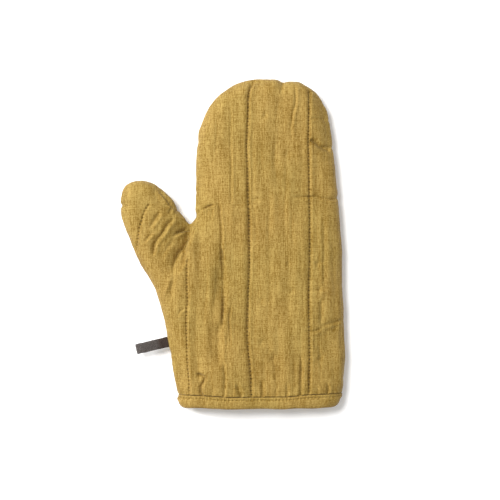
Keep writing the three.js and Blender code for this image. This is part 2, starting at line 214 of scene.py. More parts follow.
def inward(line, reach):
    """The direction to the right of a line, which on the seamed edge is inwards."""
    tangent = blur(np.gradient(line, axis=0), reach)
    return unit(np.stack([tangent[:, 1], -tangent[:, 0]], axis=1))


def make_edge():
    """The seamed edge, with the small waves and nicks that its creases make."""
    line = blur(resample(spline(EDGE_POINTS), EDGE_STEP), 4)
    normal = inward(line, 4)
    along = np.arange(len(line)) * EDGE_STEP
    dip = 0.5 * (noise(along / 9, 0, 1) - 0.5) + 0.35 * (noise(along / 3.2, 0, 2) - 0.5)
    for x, y, deep, long in NICKS:
        away = np.hypot(line[:, 0] - x, line[:, 1] - y)
        dip += deep * np.exp(-(away / (0.5 * long)) ** 2)
    return line + normal * dip[:, None]


EDGE = make_edge()
EDGE_NORMAL = inward(EDGE, 5)
EDGE_TREE = tree_of(EDGE)


def within(points, polygon):
    """Which points are inside a polygon."""
    x, y = points[:, 0], points[:, 1]
    inside = np.zeros(len(points), bool)
    for a, b in zip(polygon, np.roll(polygon, 1, axis=0)):
        crosses = (a[1] > y) != (b[1] > y)
        if crosses.any():
            inside ^= crosses & (x < (b[0] - a[0]) * (y - a[1]) / (b[1] - a[1] + 1e-12) + a[0])
    return inside


def depths(points):
    """Distance in from the seamed edge, and the direction away from it."""
    found = [EDGE_TREE.find((x, y, 0)) for x, y in points]
    nearest = np.array([(f[0][0], f[0][1]) for f in found])
    away = points - nearest
    depth = np.linalg.norm(away, axis=1)
    return depth, away / np.maximum(depth, 1e-9)[:, None]


# ---------------------------------------------------------------- height of a half

DOME_SHARE, DOME_REACH = 0.27, 52.0  # of the height, a part builds up slowly towards the middle


def shoulder(depth, half):
    """Height at a depth, from 0 at the seam to 1 in the middle: a rounded edge under a low dome."""
    t = np.clip(depth / half["round"], 0, 1)
    dome = 1 - (1 - np.clip(depth / DOME_REACH, 0, 1)) ** 2
    return (1 - DOME_SHARE) * np.sqrt(1 - (1 - t) ** 2) + DOME_SHARE * dome


def slope(depth, half):
    """How steeply the half rises at a depth."""
    t = np.clip(depth / half["round"], 1e-4, 1)
    edge = (1 - t) / np.sqrt(1 - (1 - t) ** 2) / half["round"]
    dome = 2 * (1 - np.clip(depth / DOME_REACH, 0, 1)) / DOME_REACH
    return half["rise"] * ((1 - DOME_SHARE) * edge + DOME_SHARE * dome)


def thumb_dip(points):
    """How far the base of the thumb lies below the hand that it goes under."""
    x, y = points[:, 0], points[:, 1]
    beside = smooth((thumb_fold_x(y) - x) / 1.8) * smooth((x - thumb_fold_x(y) + 22) / 20)
    return THUMB_DIP * beside * smooth((y + 30) / 14) * smooth((24 - y) / 7)


def palm_swell(points):
    """The palm bulges towards the middle line of quilting, and falls away past the right-hand one."""
    x, y = points[:, 0], points[:, 1]
    crest = smooth((x - SWELL_FROM) / (SWELL_CREST - SWELL_FROM)) * (1 - smooth((x - SWELL_CREST) / 10))
    upper = 0.35 + 0.65 * smooth((y + 75) / 50)
    return 1.7 * crest * upper - 1.5 * smooth((x - QUILT_X["right"]) / 26)


def base_height(points, depth, half):
    """The plain shape's height over the table, without relief."""
    height = half["rise"] * shoulder(depth, half)
    if half is FRONT:
        height = height - thumb_dip(points) * smooth(depth / 6) + palm_swell(points) * smooth(depth / 12)
    return half["seam"] + half["up"] * height


def base_normal(depth, direction, half):
    """Outward direction of the plain face, without relief."""
    return unit(np.column_stack([-direction * slope(depth, half)[:, None], np.full(len(depth), half["up"])]))


def arc_table(half, count=400):
    """Depths over the rounded edge, and the length of cloth from the seam to each."""
    depth = half["round"] * (1 - np.cos(np.linspace(0, math.pi / 2, count)))
    return depth, distance_along(np.column_stack([depth, half["rise"] * shoulder(depth, half)]))


def edge_x(y):
    """Where the seamed edge is at the cuff, on the left and on the right."""
    half = len(EDGE) // 3
    left = np.interp(y, EDGE[:half, 1], EDGE[:half, 0])
    right = np.interp(y, EDGE[::-1][:half, 1], EDGE[::-1][:half, 0])
    return left, right


# The stitched line of the cuff sags here and there: where across the cuff, and by how much.
CUFF_WAVE = [(-60, 0.7), (-47, 0.5), (-30, 0.2), (-11, -0.8), (-5, -1.6), (2, -1.3), (30, -1.1),
             (48, -1.0), (58, -0.2), (66, 0.7), (76, 1.2), (100, 1.8)]


def round_cuff(place):
    """Lifts the cuff's corners, so that they are round when seen from above, and lets its line sag."""
    out = place.copy()
    near = smooth((place[:, 1] - HEM_TOP + 18) / 18) * smooth((HEM_TOP + 16 - place[:, 1]) / 16)
    out[:, 1] += near * np.interp(place[:, 0], *np.array(CUFF_WAVE).T)
    share = np.clip((HEM_TOP - place[:, 1]) / (HEM_TOP - MOUTH_Y), 0, 1)
    left, right = edge_x(np.minimum(place[:, 1], HEM_TOP))
    for (width, height), gap in zip(CUFF_CORNERS.values(), (place[:, 0] - left, right - place[:, 0])):
        s = np.clip(1 - gap / width, 0, 1)
        out[:, 1] += share * height * (1 - np.sqrt(1 - s ** 2))
    return out


# ---------------------------------------------------------------- relief of the front

def stroke(points, deep, width, lip=0.0, fade=0.25, fade_end=None, wander=0.4, fine=False):
    """One crease of the cloth; fine ones get a closer mesh, and the wadding keeps clear of them."""
    return {"points": points, "deep": deep, "width": width, "lip": lip, "fade": fade,
            "fade_end": fade if fade_end is None else fade_end, "wander": wander, "fine": fine}


# Creases: a valley is deep > 0, a ridge is deep < 0; lip raises its side away from the light. Each
# fades in and out over a share of its length, and wanders a little off its points. These points,
# and those of the quilting and the parting line, were picked on the photograph and scaled.
CREASES = [
    # long folds between the lines of quilting
    stroke([(-13.2, 39.2), (-11.4, 32), (-10.7, 25.6), (-10, 19.3), (-9.4, 12.1), (-9.6, 3.1), (-9.6, -4.1),
            (-9, -11.3), (-8.8, -18.6)], 1.7, 1.0, 0.5, 0.15, 0.1, 0.3, fine=True),
    stroke([(-9.2, -1.7), (-8.9, -14.8), (-7.9, -22.8), (-7.6, -36.6), (-7.6, -47.4), (-7.9, -58.2),
            (-8.4, -67.3), (-8.9, -80.1)], 3.3, 1.0, 0.0, 0.15, 0.2, 0.2, fine=True),
    stroke([(-8.6, -8), (-7.8, -24.8), (-7.6, -40), (-8.2, -58), (-9, -70)], 1.1, 4.6, 0.0, 0.3, 0.3),
    stroke([(-12, -18.6), (-11.1, -29.4), (-11.1, -42), (-11.5, -56.4)], 0.8, 3.2, 0.0, 0.3),
    stroke([(-11.5, -67.3), (-12.2, -79.9), (-12.4, -92.5), (-12.1, -103.3), (-11.5, -116)], 2.7, 5.0, 0.0,
           0.3),
    stroke([(-7.2, -76), (-6.6, -88), (-6.6, -102), (-6.2, -112)], -0.9, 1.3, 0.0, 0.25),
    stroke([(-8.7, -103.3), (-7.2, -110.6), (-6.5, -117.8), (-6.3, -126.8), (-6.5, -137.6)], 1.2, 1.1, 0.4,
           0.3, 0.02, fine=True),
    stroke([(-0.7, 135.7), (-1.3, 93.3), (-0.4, 60.8), (-0.9, 25.6)], 0.9, 0.8, 0.3),
    stroke([(-0.9, -54.6), (-1.8, -64.6), (-2.5, -72.7), (-1.6, -83.5), (-1.6, -96.1)], 1.4, 0.7, 0.4,
           fine=True),
    stroke([(-0.3, 39.2), (0.6, 17.5), (-0.3, -16.8)], -0.5, 3.4, 0.0, 0.3),
    stroke([(18.7, 118.5), (19.1, 84.3), (18.7, 48.2), (19.6, 3.1)], 0.3, 2.0, 0.0, 0.3),
    stroke([(57, 143.8), (57.9, 129.4), (54.6, 114.9), (53.8, 98.7), (55.8, 87.9)], 0.9, 1.0, 0.4, 0.1,
           0.4),
    stroke([(46.2, 146.5), (45.3, 140.2), (45.7, 131.2)], 0.9, 1.2, 0.4, 0.02, 0.6),
    stroke([(62.4, -96.1), (62.7, -107), (62.6, -119.6), (62.1, -137.6)], 2.2, 1.1, 0.5, 0.5, 0.02,
           fine=True),
    stroke([(32.7, 57.2), (34, 28.3), (33.1, -2.3)], 0.5, 2.2, 0.2, 0.4),
    stroke([(39.9, 104.1), (39, 75.3), (40.3, 42.8)], 0.45, 2.0, 0.2, 0.4),
    stroke([(48, 93.3), (48.9, 59), (47.5, 26.5), (48.4, -5.9)], 0.4, 2.0, 0.2, 0.4),
    stroke([(29, -78.1), (32.7, -91.6), (31.8, -107)], 0.5, 2.4, 0.2, 0.4),
    stroke([(61.5, 16.6), (62.4, -16.8), (61.1, -51)], 0.4, 2.2, 0.2, 0.4),
    stroke([(82.3, 34.7), (83.6, -5.9), (82.3, -55.5)], 0.6, 1.6, 0.2, 0.3),
    # short creases in from the right-hand edge
    stroke([(69.6, 113.1), (76.9, 113.6), (86.8, 112.2)], 0.9, 1.2, 0.2, 0.2, 0.05),
    stroke([(70.1, 93.7), (74.1, 92.4), (77.8, 90.1), (80.5, 87.9), (85, 86.5), (89.9, 85.6)], 2.6, 1.4,
           0.0, 0.12, 0.02, 0.3, fine=True),
    stroke([(54.3, 41.9), (64.2, 41.9), (74.1, 42.3), (83.2, 40.5), (95.8, 40.1)], 1.4, 1.0, 0.4, 0.2,
           0.05),
    stroke([(64.2, -79), (70.5, -79.9), (75.9, -79), (81.4, -75.4)], 0.8, 1.3, 0.2),
    stroke([(79.6, -74.9), (85, -73.6), (90.4, -72.2), (99.9, -69.5)], 0.7, 1.2, 0.3, 0.2, 0.02),
    stroke([(73.2, -18.6), (78.7, -17.2), (85.9, -16.8)], 0.6, 1.3, 0.2),
    stroke([(73.2, -40.2), (80.5, -41.6), (86.8, -41.1)], 0.5, 1.3, 0.2),
    stroke([(80.2, -47), (80.6, -61.9), (80, -76.5)], 1.6, 2.2, 0.2, 0.3),
    stroke([(79.6, -91.6), (80.5, -103.3), (79.6, -114.2)], 0.5, 2.2),
    # soft dents
    stroke([(75, -19), (80.5, -19.5)], 1.1, 2.8, 0.0, 0.45),
    stroke([(76.9, -41.1), (82.3, -41.6)], 1.1, 2.6, 0.0, 0.45),
    stroke([(89.5, -76.3), (97.6, -75.4)], 0.8, 2.2, 0.0, 0.45),
    stroke([(77.8, -101.5), (82.3, -105.1)], 0.9, 3.0, 0.0, 0.45),
    stroke([(27.2, -47.4), (24.5, -56.4)], 0.9, 3.2, 0.0, 0.45),
    stroke([(27.2, -85.3), (26.3, -95.2)], 0.9, 3.2, 0.0, 0.45),
    stroke([(37.6, -96.1), (37.6, -110.6)], 1.0, 3.4, 0.0, 0.45),
    stroke([(48.9, -18.6), (53.4, -17.7)], 0.8, 2.4, 0.0, 0.45),
    stroke([(55.2, -38.4), (54.3, -47.4)], 0.9, 3.0, 0.0, 0.45),
    stroke([(27.2, 116.7), (32.7, 114)], 0.8, 3.2, 0.0, 0.45),
    stroke([(50.7, 86.1), (49.8, 75.3)], 0.8, 3.0, 0.0, 0.45),
    stroke([(22.7, 42.8), (21.8, 35.6)], 0.9, 2.8, 0.0, 0.45),
    # gathers at the base of the fingers
    stroke([(-32.3, 27), (-28.7, 29.7), (-24.6, 32.4), (-20.6, 33.8), (-14.3, 34.7)], 2.5, 0.9, 0.5, 0.1,
           0.3, 0.3, fine=True),
    stroke([(-26, 30.2), (-25.6, 24.7), (-26.3, 17.5)], 1.1, 0.9, 0.3, 0.2, 0.6),
    stroke([(-22.1, 32), (-22.1, 26.5), (-22.9, 19.3)], 1.1, 0.9, 0.3, 0.2, 0.6),
    stroke([(-18, 32.9), (-17.9, 26.5), (-18.8, 18.4)], 0.9, 0.9, 0.3, 0.2, 0.6),
    stroke([(-30, 27.4), (-29.6, 21.1), (-30.5, 12.1)], 0.4, 1.0, 0.3, 0.2, 0.6),
    # thumb: valleys out of the crotch, and wrinkles across it
    stroke([(-36.8, 17.7), (-40, 14.8), (-43.6, 12.3), (-47.6, 10.7), (-51.2, 8.3), (-55.3, 5.8)], 3.2, 1.4,
           1.2, 0.02, 0.45, 0.15, fine=True),
    stroke([(-37.3, 17.5), (-37.5, 12.1), (-38.4, 6.7), (-40.8, 1.3), (-44, -3.7), (-47.6, -8.2),
            (-50.7, -14), (-52.5, -20.4), (-53.5, -30.3)], 3.3, 1.8, 0.0, 0.02, 0.5, 0.15, fine=True),
    stroke([(-42.7, 0.4), (-42.8, -5.9), (-43.5, -12.2), (-44, -17.7)], 1.3, 1.2, 0.3, 0.4),
    stroke([(-38.3, 15.7), (-39.7, 10.3), (-42.7, 4), (-46.7, -1.4)], 1.4, 3.0, 0.0, 0.15, 0.5),
    stroke([(-50.3, 24.3), (-54.4, 21.1), (-58, 17.5), (-63, 9.4), (-68.4, 3.1), (-70.7, -2.8),
            (-71.3, -12.2)], 2.5, 1.5, 1.0, 0.2, 0.15, 0.3, fine=True),
    stroke([(-63.9, 29.7), (-67.9, 24.7), (-71.1, 19.3), (-74.7, 12.1)], 1.5, 1.5, 0.7, 0.25, 0.3),
    stroke([(-70.6, 11.2), (-75.6, 5.8), (-80.1, -0.1)], 1.0, 1.0, 0.5, 0.3),
    stroke([(-54.4, 32.9), (-55.3, 30.2), (-57.1, 27)], 1.3, 1.1, 0.4, 0.3),
    stroke([(-61.2, 36.5), (-57.5, 34.2), (-55.7, 37.8)], 0.9, 1.6, 0.2, 0.4),
    stroke([(-50.3, 8.5), (-55.7, -0.5), (-61.2, -8.6), (-64.8, -16.8)], 0.6, 1.6, 0.3, 0.4),
    stroke([(-66.6, 49.1), (-60.1, 41.4), (-55.9, 36.6), (-53, 32.4), (-47.6, 27)], 1.3, 1.3, 0.0, 0.2, 0.3,
           0.3),
    stroke([(-68.4, 47.7), (-62.5, 41.4), (-58.5, 36.5), (-55.3, 31.5), (-49.4, 25.6)], -0.9, 1.6, 0.0,
           0.25),
    stroke([(-59.1, 39.6), (-57.9, 36.5)], 0.9, 1.0, 0.2, 0.4),
    stroke([(-100.8, 33.8), (-97.2, 33.2), (-92.7, 34.2)], 1.0, 0.9, 0.4, 0.02, 0.6),
    stroke([(-72, 45.5), (-64.8, 37.4), (-57.5, 30.2)], 0.35, 1.4, 0.3, 0.3),
    # the hand's own edge stands up beside the thumb's base
    stroke([(-34.6, 19.3), (-35.4, 4.9), (-36, -7.7), (-36.5, -22.2), (-38.7, -36.6)], -0.8, 4.2, 0.0, 0.05,
           0.5),
    stroke([(-43.6, -20.4), (-45.4, -33), (-46.7, -43.8), (-45.8, -56.4)], -0.7, 2.0, 0.0, 0.3),
    stroke([(-54.8, -29.4), (-58, -40.2), (-62.1, -51)], -0.9, 1.3, 0.0, 0.3),
    stroke([(-52.1, -29.4), (-54.8, -42), (-56.6, -56.4)], 0.7, 1.4, 0.3, 0.3),
    stroke([(-42.2, -58.2), (-46.3, -61.9), (-50.3, -66.8)], 0.7, 1.0, 0.4, 0.3),
    stroke([(-52.6, -60.5), (-46.7, -64.1), (-40.4, -65.5)], 0.4, 1.1, 0.2, 0.3),
    # puckers above the cuff
    stroke([(-32.7, -117.3), (-27.8, -119.1), (-24.5, -121.4), (-25.4, -125), (-27.6, -128.6),
            (-28.2, -133.1), (-25.1, -138.5)], 2.5, 1.1, 0.6, 0.15, 0.03, 0.3, fine=True),
    stroke([(2.6, -126), (5.9, -130.9), (8.9, -137.6)], 1.9, 1.6, 0.5, 0.4, 0.02),
    stroke([(26.8, -121.4), (27.1, -129.5), (28.4, -137.6)], 1.9, 1.4, 0.4, 0.5, 0.02),
    stroke([(49.6, -125), (49.8, -131.3), (49.4, -137.6)], 1.4, 1.2, 0.4, 0.5, 0.02),
    stroke([(85, -125), (87, -131.3), (86.2, -137.6)], 1.6, 1.0, 0.4, 0.5, 0.02),
    stroke([(-17.9, -125), (-17, -131.3), (-17.3, -137.6)], 0.6, 1.2, 0.2, 0.5, 0.02),
    stroke([(-44.9, -125.9), (-44, -133.1), (-44.4, -137.6)], 0.5, 1.2, 0.2, 0.5, 0.02),
    stroke([(39.4, -127.7), (40, -132.2), (39.5, -137.6)], 0.6, 1.0, 0.2, 0.5, 0.02),
    stroke([(76.9, -125.9), (77.8, -132.2), (77.4, -137.6)], 0.6, 1.0, 0.2, 0.5, 0.02),
    stroke([(-0.3, -119.6), (1.1, -128.6), (0.7, -137.6)], 0.6, 1.0, 0.2, 0.5, 0.02),
]
SHADE_SIDE = np.array([0.8, -0.6])  # away from the light, on the plan
FAR_AWAY = 1000.0


def crease_line(one, seed):
    """A crease's wandering line, and the direction to its right."""
    line = resample(spline(one["points"], 12), 0.8)
    along = np.arange(len(line), dtype=float)
    normal = inward(line, 2)
    return line + normal * (one["wander"] * (noise(along / 6, seed, 3) - 0.5) * 2)[:, None], normal


def close_to(points, line, reach):
    """Which points are in the line's box, grown by reach."""
    low, high = line.min(0) - reach, line.max(0) + reach
    return np.flatnonzero(((points > low) & (points < high)).all(1))


def stroke_relief(points, one, seed):
    """Height that one crease adds at the points, in its own frame: along it and across it."""
    line, normal = crease_line(one, seed)
    near = close_to(points, line, 4 * one["width"] + 2)
    out = np.zeros(len(points))
    if not len(near):
        return out
    gap = points[near, None, :] - line[None, :, :]
    k = np.argmin((gap ** 2).sum(2), axis=1)
    offset = points[near] - line[k]
    toward_shade = 1.0 if normal.mean(0) @ SHADE_SIDE > 0 else -1.0
    side = (offset * normal[k]).sum(1) * toward_shade
    away = np.linalg.norm(offset, axis=1)
    side = np.where(side < 0, -away, away)
    share = k / (len(line) - 1)
    taper = smooth(share / max(one["fade"], 1e-3)) * smooth((1 - share) / max(one["fade_end"], 1e-3))
    valley = -one["deep"] * np.exp(-np.abs(side / one["width"]) ** 1.25)
    rim = one["lip"] * np.exp(-((side - 2.2 * one["width"]) / (1.3 * one["width"])) ** 2)
    out[near] = (valley + rim) * taper
    return out


# Lines of quilting: close to the CAD model's straight ones, wandering as the real ones do.
QUILTING_POINTS = {
    "left": [(-40.4, -13.1), (-40.4, -25.8), (-40.4, -36.6), (-40.1, -51.0), (-41.0, -61.9),
             (-41.3, -78.1), (-40.8, -90.7), (-40.6, -103.3), (-40.0, -114.2), (-39.1, -123.2),
             (-38.2, -140.3)],
    "middle": [(20.0, 148.3), (17.3, 143.8), (15.2, 134.8), (14.6, 118.5), (14.2, 104.1), (13.3, 87.9),
               (14.3, 68.0), (14.6, 48.2), (15.5, 26.5), (15.7, 3.1), (16.0, -16.8), (15.2, -36.6),
               (14.6, -56.4), (14.1, -72.7), (14.6, -92.5), (15.9, -107.0), (17.1, -119.6), (17.9, -140.3)],
    "right": [(70.4, 137.5), (70.3, 125.8), (69.8, 109.5), (69.6, 93.3), (70.2, 57.2), (70.8, 12.1),
              (70.5, -24.0), (69.8, -51.0), (70.1, -69.1), (70.5, -96.1), (70.2, -119.6), (69.6, -140.3)],
    "thumb": [(-73.3, 37.4), (-78.3, 30.2), (-81.9, 20.2), (-84.6, 10.3), (-86.4, -1.4), (-87.3, -7.7)],
}
QUILTING_STEP = 0.5
QUILTING = [resample(spline(line, 16), QUILTING_STEP) for line in QUILTING_POINTS.values()]
QUILT_DEPTH = [1.4, 2.1, 2.0, 1.2]
QUILT_RISE = [1.0, 0.0, 0.0, 0.0]  # how much higher the cloth is on the right of the line


def line_distance(points, line, reach):
    """How far each point is from the line, and the nearest of the line's points."""
    tree = tree_of(line)
    away, at = np.full(len(points), FAR_AWAY), np.zeros(len(points))
    for i in close_to(points, line, reach):
        _, k, far = tree.find((points[i, 0], points[i, 1], 0))
        away[i], at[i] = far, k
    return away, at


def quilt_relief(points, deep_scale=1.0):
    """The channels that the quilting pulls into the padding, with a hole at each stitch's end."""
    out = np.zeros(len(points))
    rows = zip(QUILTING_POINTS, QUILTING, QUILT_DEPTH, QUILT_RISE)
    for number, (name, line, deep, step) in enumerate(rows):
        away, at = line_distance(points, line, 16)
        end = smooth(at / 8) * smooth((len(line) - 1 - at) / 8)
        if name in ("middle", "right"):  # these run on into the seams
            end = np.ones(len(points))
        right = np.sign(points[:, 0] - line[at.astype(int), 0]) * away
        phase = at * QUILTING_STEP / STITCH["pitch"] * 2 * math.pi
        pucker = 0.2 * np.sin(0.5 * phase + 2 * noise(at / 30, number, 4))
        uneven = 0.75 + 0.5 * noise(at / 36, number, 5)
        groove = 1.15 * deep * uneven * np.exp(-np.abs(away / 0.95) ** 1.05)
        pull = 0.22 * deep * uneven * np.exp(-((away / 5.5) ** 2))
        hole = 1.8 * np.exp(-((away / 0.65) ** 2)) * (0.5 + 0.5 * np.cos(phase)) ** 4
        lip = 0.22 * deep * np.exp(-(((right - 2.6) / 1.3) ** 2))
        rise = step * 0.5 * (1 + np.tanh((right - 1.0) / 0.9)) * np.exp(-np.clip(right, 0, None) / 9)
        out -= deep_scale * end * (groove + pull + hole)
        out += deep_scale * end * (lip + rise + pucker * np.exp(-away / 3.2) * smooth(away / 0.8))
    return out


def wrinkles(x, y, amount=1.0):
    """Vertical wrinkles of washed linen: broad ones, fine ones and sharp little folds."""
    drift = 3.0 * noise(x / 60, y / 50, 6)
    broad = 1.0 * (noise((x + drift) / 9.0, y / 80, 7) - 0.5)
    middle = 0.4 * (noise((x + drift) / 4.2, y / 40, 8) - 0.5)
    fine = 0.1 * (noise((x + drift) / 1.9, y / 15, 9) - 0.5)
    ridge = 1 - np.abs(2 * noise((x + 2 * drift) / 8.0, y / 42, 10) - 1)
    sharp = 0.42 * ridge ** 5 * smooth(noise(x / 22, y / 26, 11) * 2 - 0.7)
    across = 0.36 * (noise(x / 26, y / 13, 12) - 0.5)
    lumps = 1.6 * (noise(x / 24, y / 30, 13) - 0.5)
    return amount * (broad + middle + fine - sharp + across + lumps)


def front_relief(points, depth):
    """Quilting, creases and wrinkles of the front, fading to nothing at the seam."""
    relief = quilt_relief(points)
    for number, one in enumerate(CREASES):
        relief += CREASE_SCALE * stroke_relief(points, one, number)
    x, y = points[:, 0], points[:, 1]
    above_hem = smooth((y - HEM_TOP) / 18)
    on_thumb = within(points, THUMB_REGION)
    amount = WRINKLE_SCALE * (1 + 0.3 * smooth(-y / 60)) * (0.25 + 0.75 * above_hem) * (1 - 0.5 * on_thumb)
    relief += wrinkles(x, y, amount) + 0.7 * (1 - above_hem)
    return np.clip(relief * smooth(depth / 3.6), -np.minimum(LOWEST, 1.0 + 0.42 * depth), HIGHEST)


def back_relief(points, depth):
    """The back lies on the table, so its relief is small."""
    relief = quilt_relief(points, 0.45) + wrinkles(points[:, 0] + OTHER_NOISE, points[:, 1])
    return np.clip(relief * smooth(depth / 4.5), -LOWEST, 0.35)


def squeezed(relief, points, level):
    """The relief near the cuff, where the binding's stitches hold the layers together."""
    x, y = points[:, 0], points[:, 1]
    hold = smooth((HEM_TOP + 1.6 - y) / 1.3)
    pull = smooth((HEM_TOP + 12.0 - y) / 12.0) ** 2
    rim = 2.6 * np.clip((MOUTH_Y + 6.5 - y) / 3.5, 0, 1) ** 2
    gather = 0.9 * (noise(x / 2.1, y / 30, 19) - 0.5) * np.exp(-np.clip(y - HEM_TOP, 0, None) / 5.0)
    relief = (relief + gather * level) * (1 - hold) - (0.2 + 0.8 * level) * (1.6 * hold + 0.1 * pull)
    return relief - rim


def outer_face(points, depth, direction, half):
    """The cover's outer face over points of the plan: places, normals and relief."""
    relief = front_relief(points, depth) if half is FRONT else back_relief(points, depth)
    relief = squeezed(relief, points, shoulder(depth, half))
    normal = base_normal(depth, direction, half)
    base = np.column_stack([points, base_height(points, depth, half)])
    return base, normal, relief


def layer_face(points, depth, direction, half, offset, follow):
    """A face inside the cover: at an offset from its lowest relief close by, or from the plain shape."""
    base, normal, relief = outer_face(points, depth, direction, half)
    if follow:
        for reach in (1.4, 2.8, 4.2):
            for turn in np.arange(8) * math.pi / 4:
                beside = points + reach * np.array([math.cos(turn), math.sin(turn)])
                around, toward = depths(beside)
                relief = np.minimum(relief, outer_face(beside, around, toward, half)[2])
        if half is FRONT:
            for line in FINE_LINES["front"]:
                relief[line_distance(points, resample(line, 0.5), 5.0)[0] < 4.6] = -LOWEST
        inset = np.maximum(np.minimum(relief, 0) - offset, -WADDING_LOWEST)
    else:
        inset = np.full(len(points), -offset)
    return seam_drawn(base + normal * inset[:, None], depth, direction, half)


def seam_drawn(place, depth, direction, half):
    """Draws the cloth in towards the seam, as a sewn and turned edge is."""
    table, arc = arc_table(half)
    pull = SEAM_PULL * np.exp(-((np.interp(depth, table, arc) / 1.3) ** 2))
    place = place.copy()
    place[:, :2] += direction * pull[:, None]
    if half is BACK:
        place[:, 2] = np.maximum(place[:, 2], FLOOR_GAP)
    return round_cuff(place)


# The thumb's panel pieces part from the hand's along the valley beside the hand's edge.
PARTING = [(-37.0, 18.9), (-37.5, 13.0), (-38.2, 7.6), (-40.4, 2.6), (-43.1, -1.4), (-46.7, -5.5),
           (-49.4, -10.0), (-51.9, -16.8), (-54.8, -25.8), (-61, -34), (-70, -52)]
THUMB_REGION = np.array(PARTING + [(-130, -52), (-130, 90), (-52, 90), (-39.5, 24)])


# ---------------------------------------------------------------- panel meshes

HEM_LINE = np.array([(-60.0, HEM_TOP + 0.9), (110.0, HEM_TOP + 0.9)])
FINE_CREASES = [crease_line(one, number)[0] for number, one in enumerate(CREASES) if one["fine"]]
FINE_LINES = {"front": [HEM_LINE] + FINE_CREASES + QUILTING, "back": [HEM_LINE] + QUILTING}
EDGE_BAND = 3.5  # depth of the band of rings along the edge


def hex_lattice(low, high, step):
    """Points of even triangles over a box."""
    rows = []
    for number, y in enumerate(np.arange(low[1], high[1], step * math.sqrt(3) / 2)):
        x = np.arange(low[0] + (number % 2) * step / 2, high[0], step)
        rows.append(np.column_stack([x, np.full(len(x), y)]))
    return np.vstack(rows)


LINE_BAND = [0.0, 0.42, 0.9, 1.5]  # rows of points beside a line of quilting
LINE_STEP = 0.41


def add_line_bands(lattice, lines, step):
    """Replaces the lattice beside each line by closer rows of points."""
    for line in lines:
        away, _ = line_distance(lattice, line, LINE_BAND[-1] + step)
        lattice = lattice[away > LINE_BAND[-1] + 0.5 * step]
        at = resample(line, LINE_STEP)
        side = inward(at, 2)
        rows = [at] + [at + side * offset * way for offset in LINE_BAND[1:] for way in (1, -1)]
        lattice = np.vstack([lattice] + rows)
    return lattice


def edge_rings(half, step):
    """The band along the edge: its rings' depths, and each ring's rail and directions inwards."""
    depth_table, arc_of_depth = arc_table(half)
    band_arc = np.interp(EDGE_BAND, depth_table, arc_of_depth)
    rings = np.interp(np.linspace(0, band_arc, max(3, round(band_arc / step) + 1)), arc_of_depth, depth_table)
    used = np.flatnonzero(EDGE[:, 1] >= PANEL_END)
    line, normal = EDGE[used[0]:used[-1] + 1].copy(), EDGE_NORMAL[used[0]:used[-1] + 1].copy()
    level = np.exp(-((line[:, 1] - PANEL_END) / 4) ** 2)[:, None]
    sideways = np.column_stack([np.sign(normal[:, 0]), np.zeros(len(normal))])
    normal = unit(normal * (1 - level) + sideways * level)
    line[0, 1] = line[-1, 1] = PANEL_END
    inner_step = np.linalg.norm(np.diff(line + normal * rings[-1], axis=0), axis=1)
    outer_step = np.linalg.norm(np.diff(line, axis=0), axis=1)
    along = np.concatenate([[0], np.cumsum(np.maximum(inner_step, 0.85 * outer_step))])
    at = np.linspace(0, along[-1], round(along[-1] / step) + 1)
    rail = np.stack([np.interp(at, along, line[:, k]) for k in (0, 1)], axis=1)
    across = np.stack([np.interp(at, along, normal[:, k]) for k in (0, 1)], axis=1)
    return rings, rail, unit(across)


def plan_mesh(half, step, fine_lines=()):
    """Triangles over the plan of a half: a band of rings along the edge, then an even lattice.

    Returns the plan points, their depth, the direction away from the edge, and the triangles."""
    rings, rail, across = edge_rings(half, step)
    count = len(rail)
    band_points = np.vstack([rail + across * ring for ring in rings])
    triangles = []
    for ring in range(len(rings) - 1):
        a = ring * count + np.arange(count - 1)
        b, c, d = a + 1, a + 1 + count, a + count
        triangles += [np.column_stack([a, c, b]), np.column_stack([a, d, c])]
    last = band_points[-count:]
    lattice = add_line_bands(hex_lattice(last.min(0), last.max(0), step), fine_lines, step)
    lattice = lattice[within(lattice, last)]
    depth, direction = depths(lattice)
    keep = (depth > rings[-1] + 0.6 * step) & (lattice[:, 1] > PANEL_END + 0.6 * step)
    lattice, depth, direction = lattice[keep], depth[keep], direction[keep]
    bottom_x = np.linspace(last[-1, 0], last[0, 0], round((last[-1, 0] - last[0, 0]) / step) + 1)[1:-1]
    bottom = np.column_stack([bottom_x, np.full(len(bottom_x), PANEL_END)])
    bottom_depth, bottom_direction = depths(bottom)
    flat = np.vstack([last, bottom, lattice])
    loop = len(last) + len(bottom)
    edges = [(k, (k + 1) % loop) for k in range(loop)]
    made = delaunay_2d_cdt([Vector(p) for p in flat], edges, [], 1, 1e-6)
    if len(made[0]) != len(flat):
        raise RuntimeError("the plan's triangulation added points")
    inside = np.array([face for face in made[2]], int) + (len(rings) - 1) * count
    points = np.vstack([band_points, bottom, lattice])
    depth = np.concatenate([np.repeat(rings, count), bottom_depth, depth])
    direction = np.vstack([np.tile(across, (len(rings), 1)), bottom_direction, direction])
    faces = np.vstack(triangles + [inside])
    turned = turns(points, faces) < 0
    faces[turned] = faces[turned][:, ::-1]
    return points, depth, direction, faces


def turns(plan, faces):
    """Twice each triangle's area on the plan, under 0 where it turns clockwise."""
    a, b, c = plan[faces[:, 0]], plan[faces[:, 1]], plan[faces[:, 2]]
    return (b[:, 0] - a[:, 0]) * (c[:, 1] - a[:, 1]) - (b[:, 1] - a[:, 1]) * (c[:, 0] - a[:, 0])


def vertex_normals(points, faces):
    """Outward direction at each point, from the triangles round it."""
    a, b, c = points[faces[:, 0]], points[faces[:, 1]], points[faces[:, 2]]
    flat = np.cross(b - a, c - a)
    out = np.zeros_like(points)
    for k in range(3):
        np.add.at(out, faces[:, k], flat)
    return unit(out)


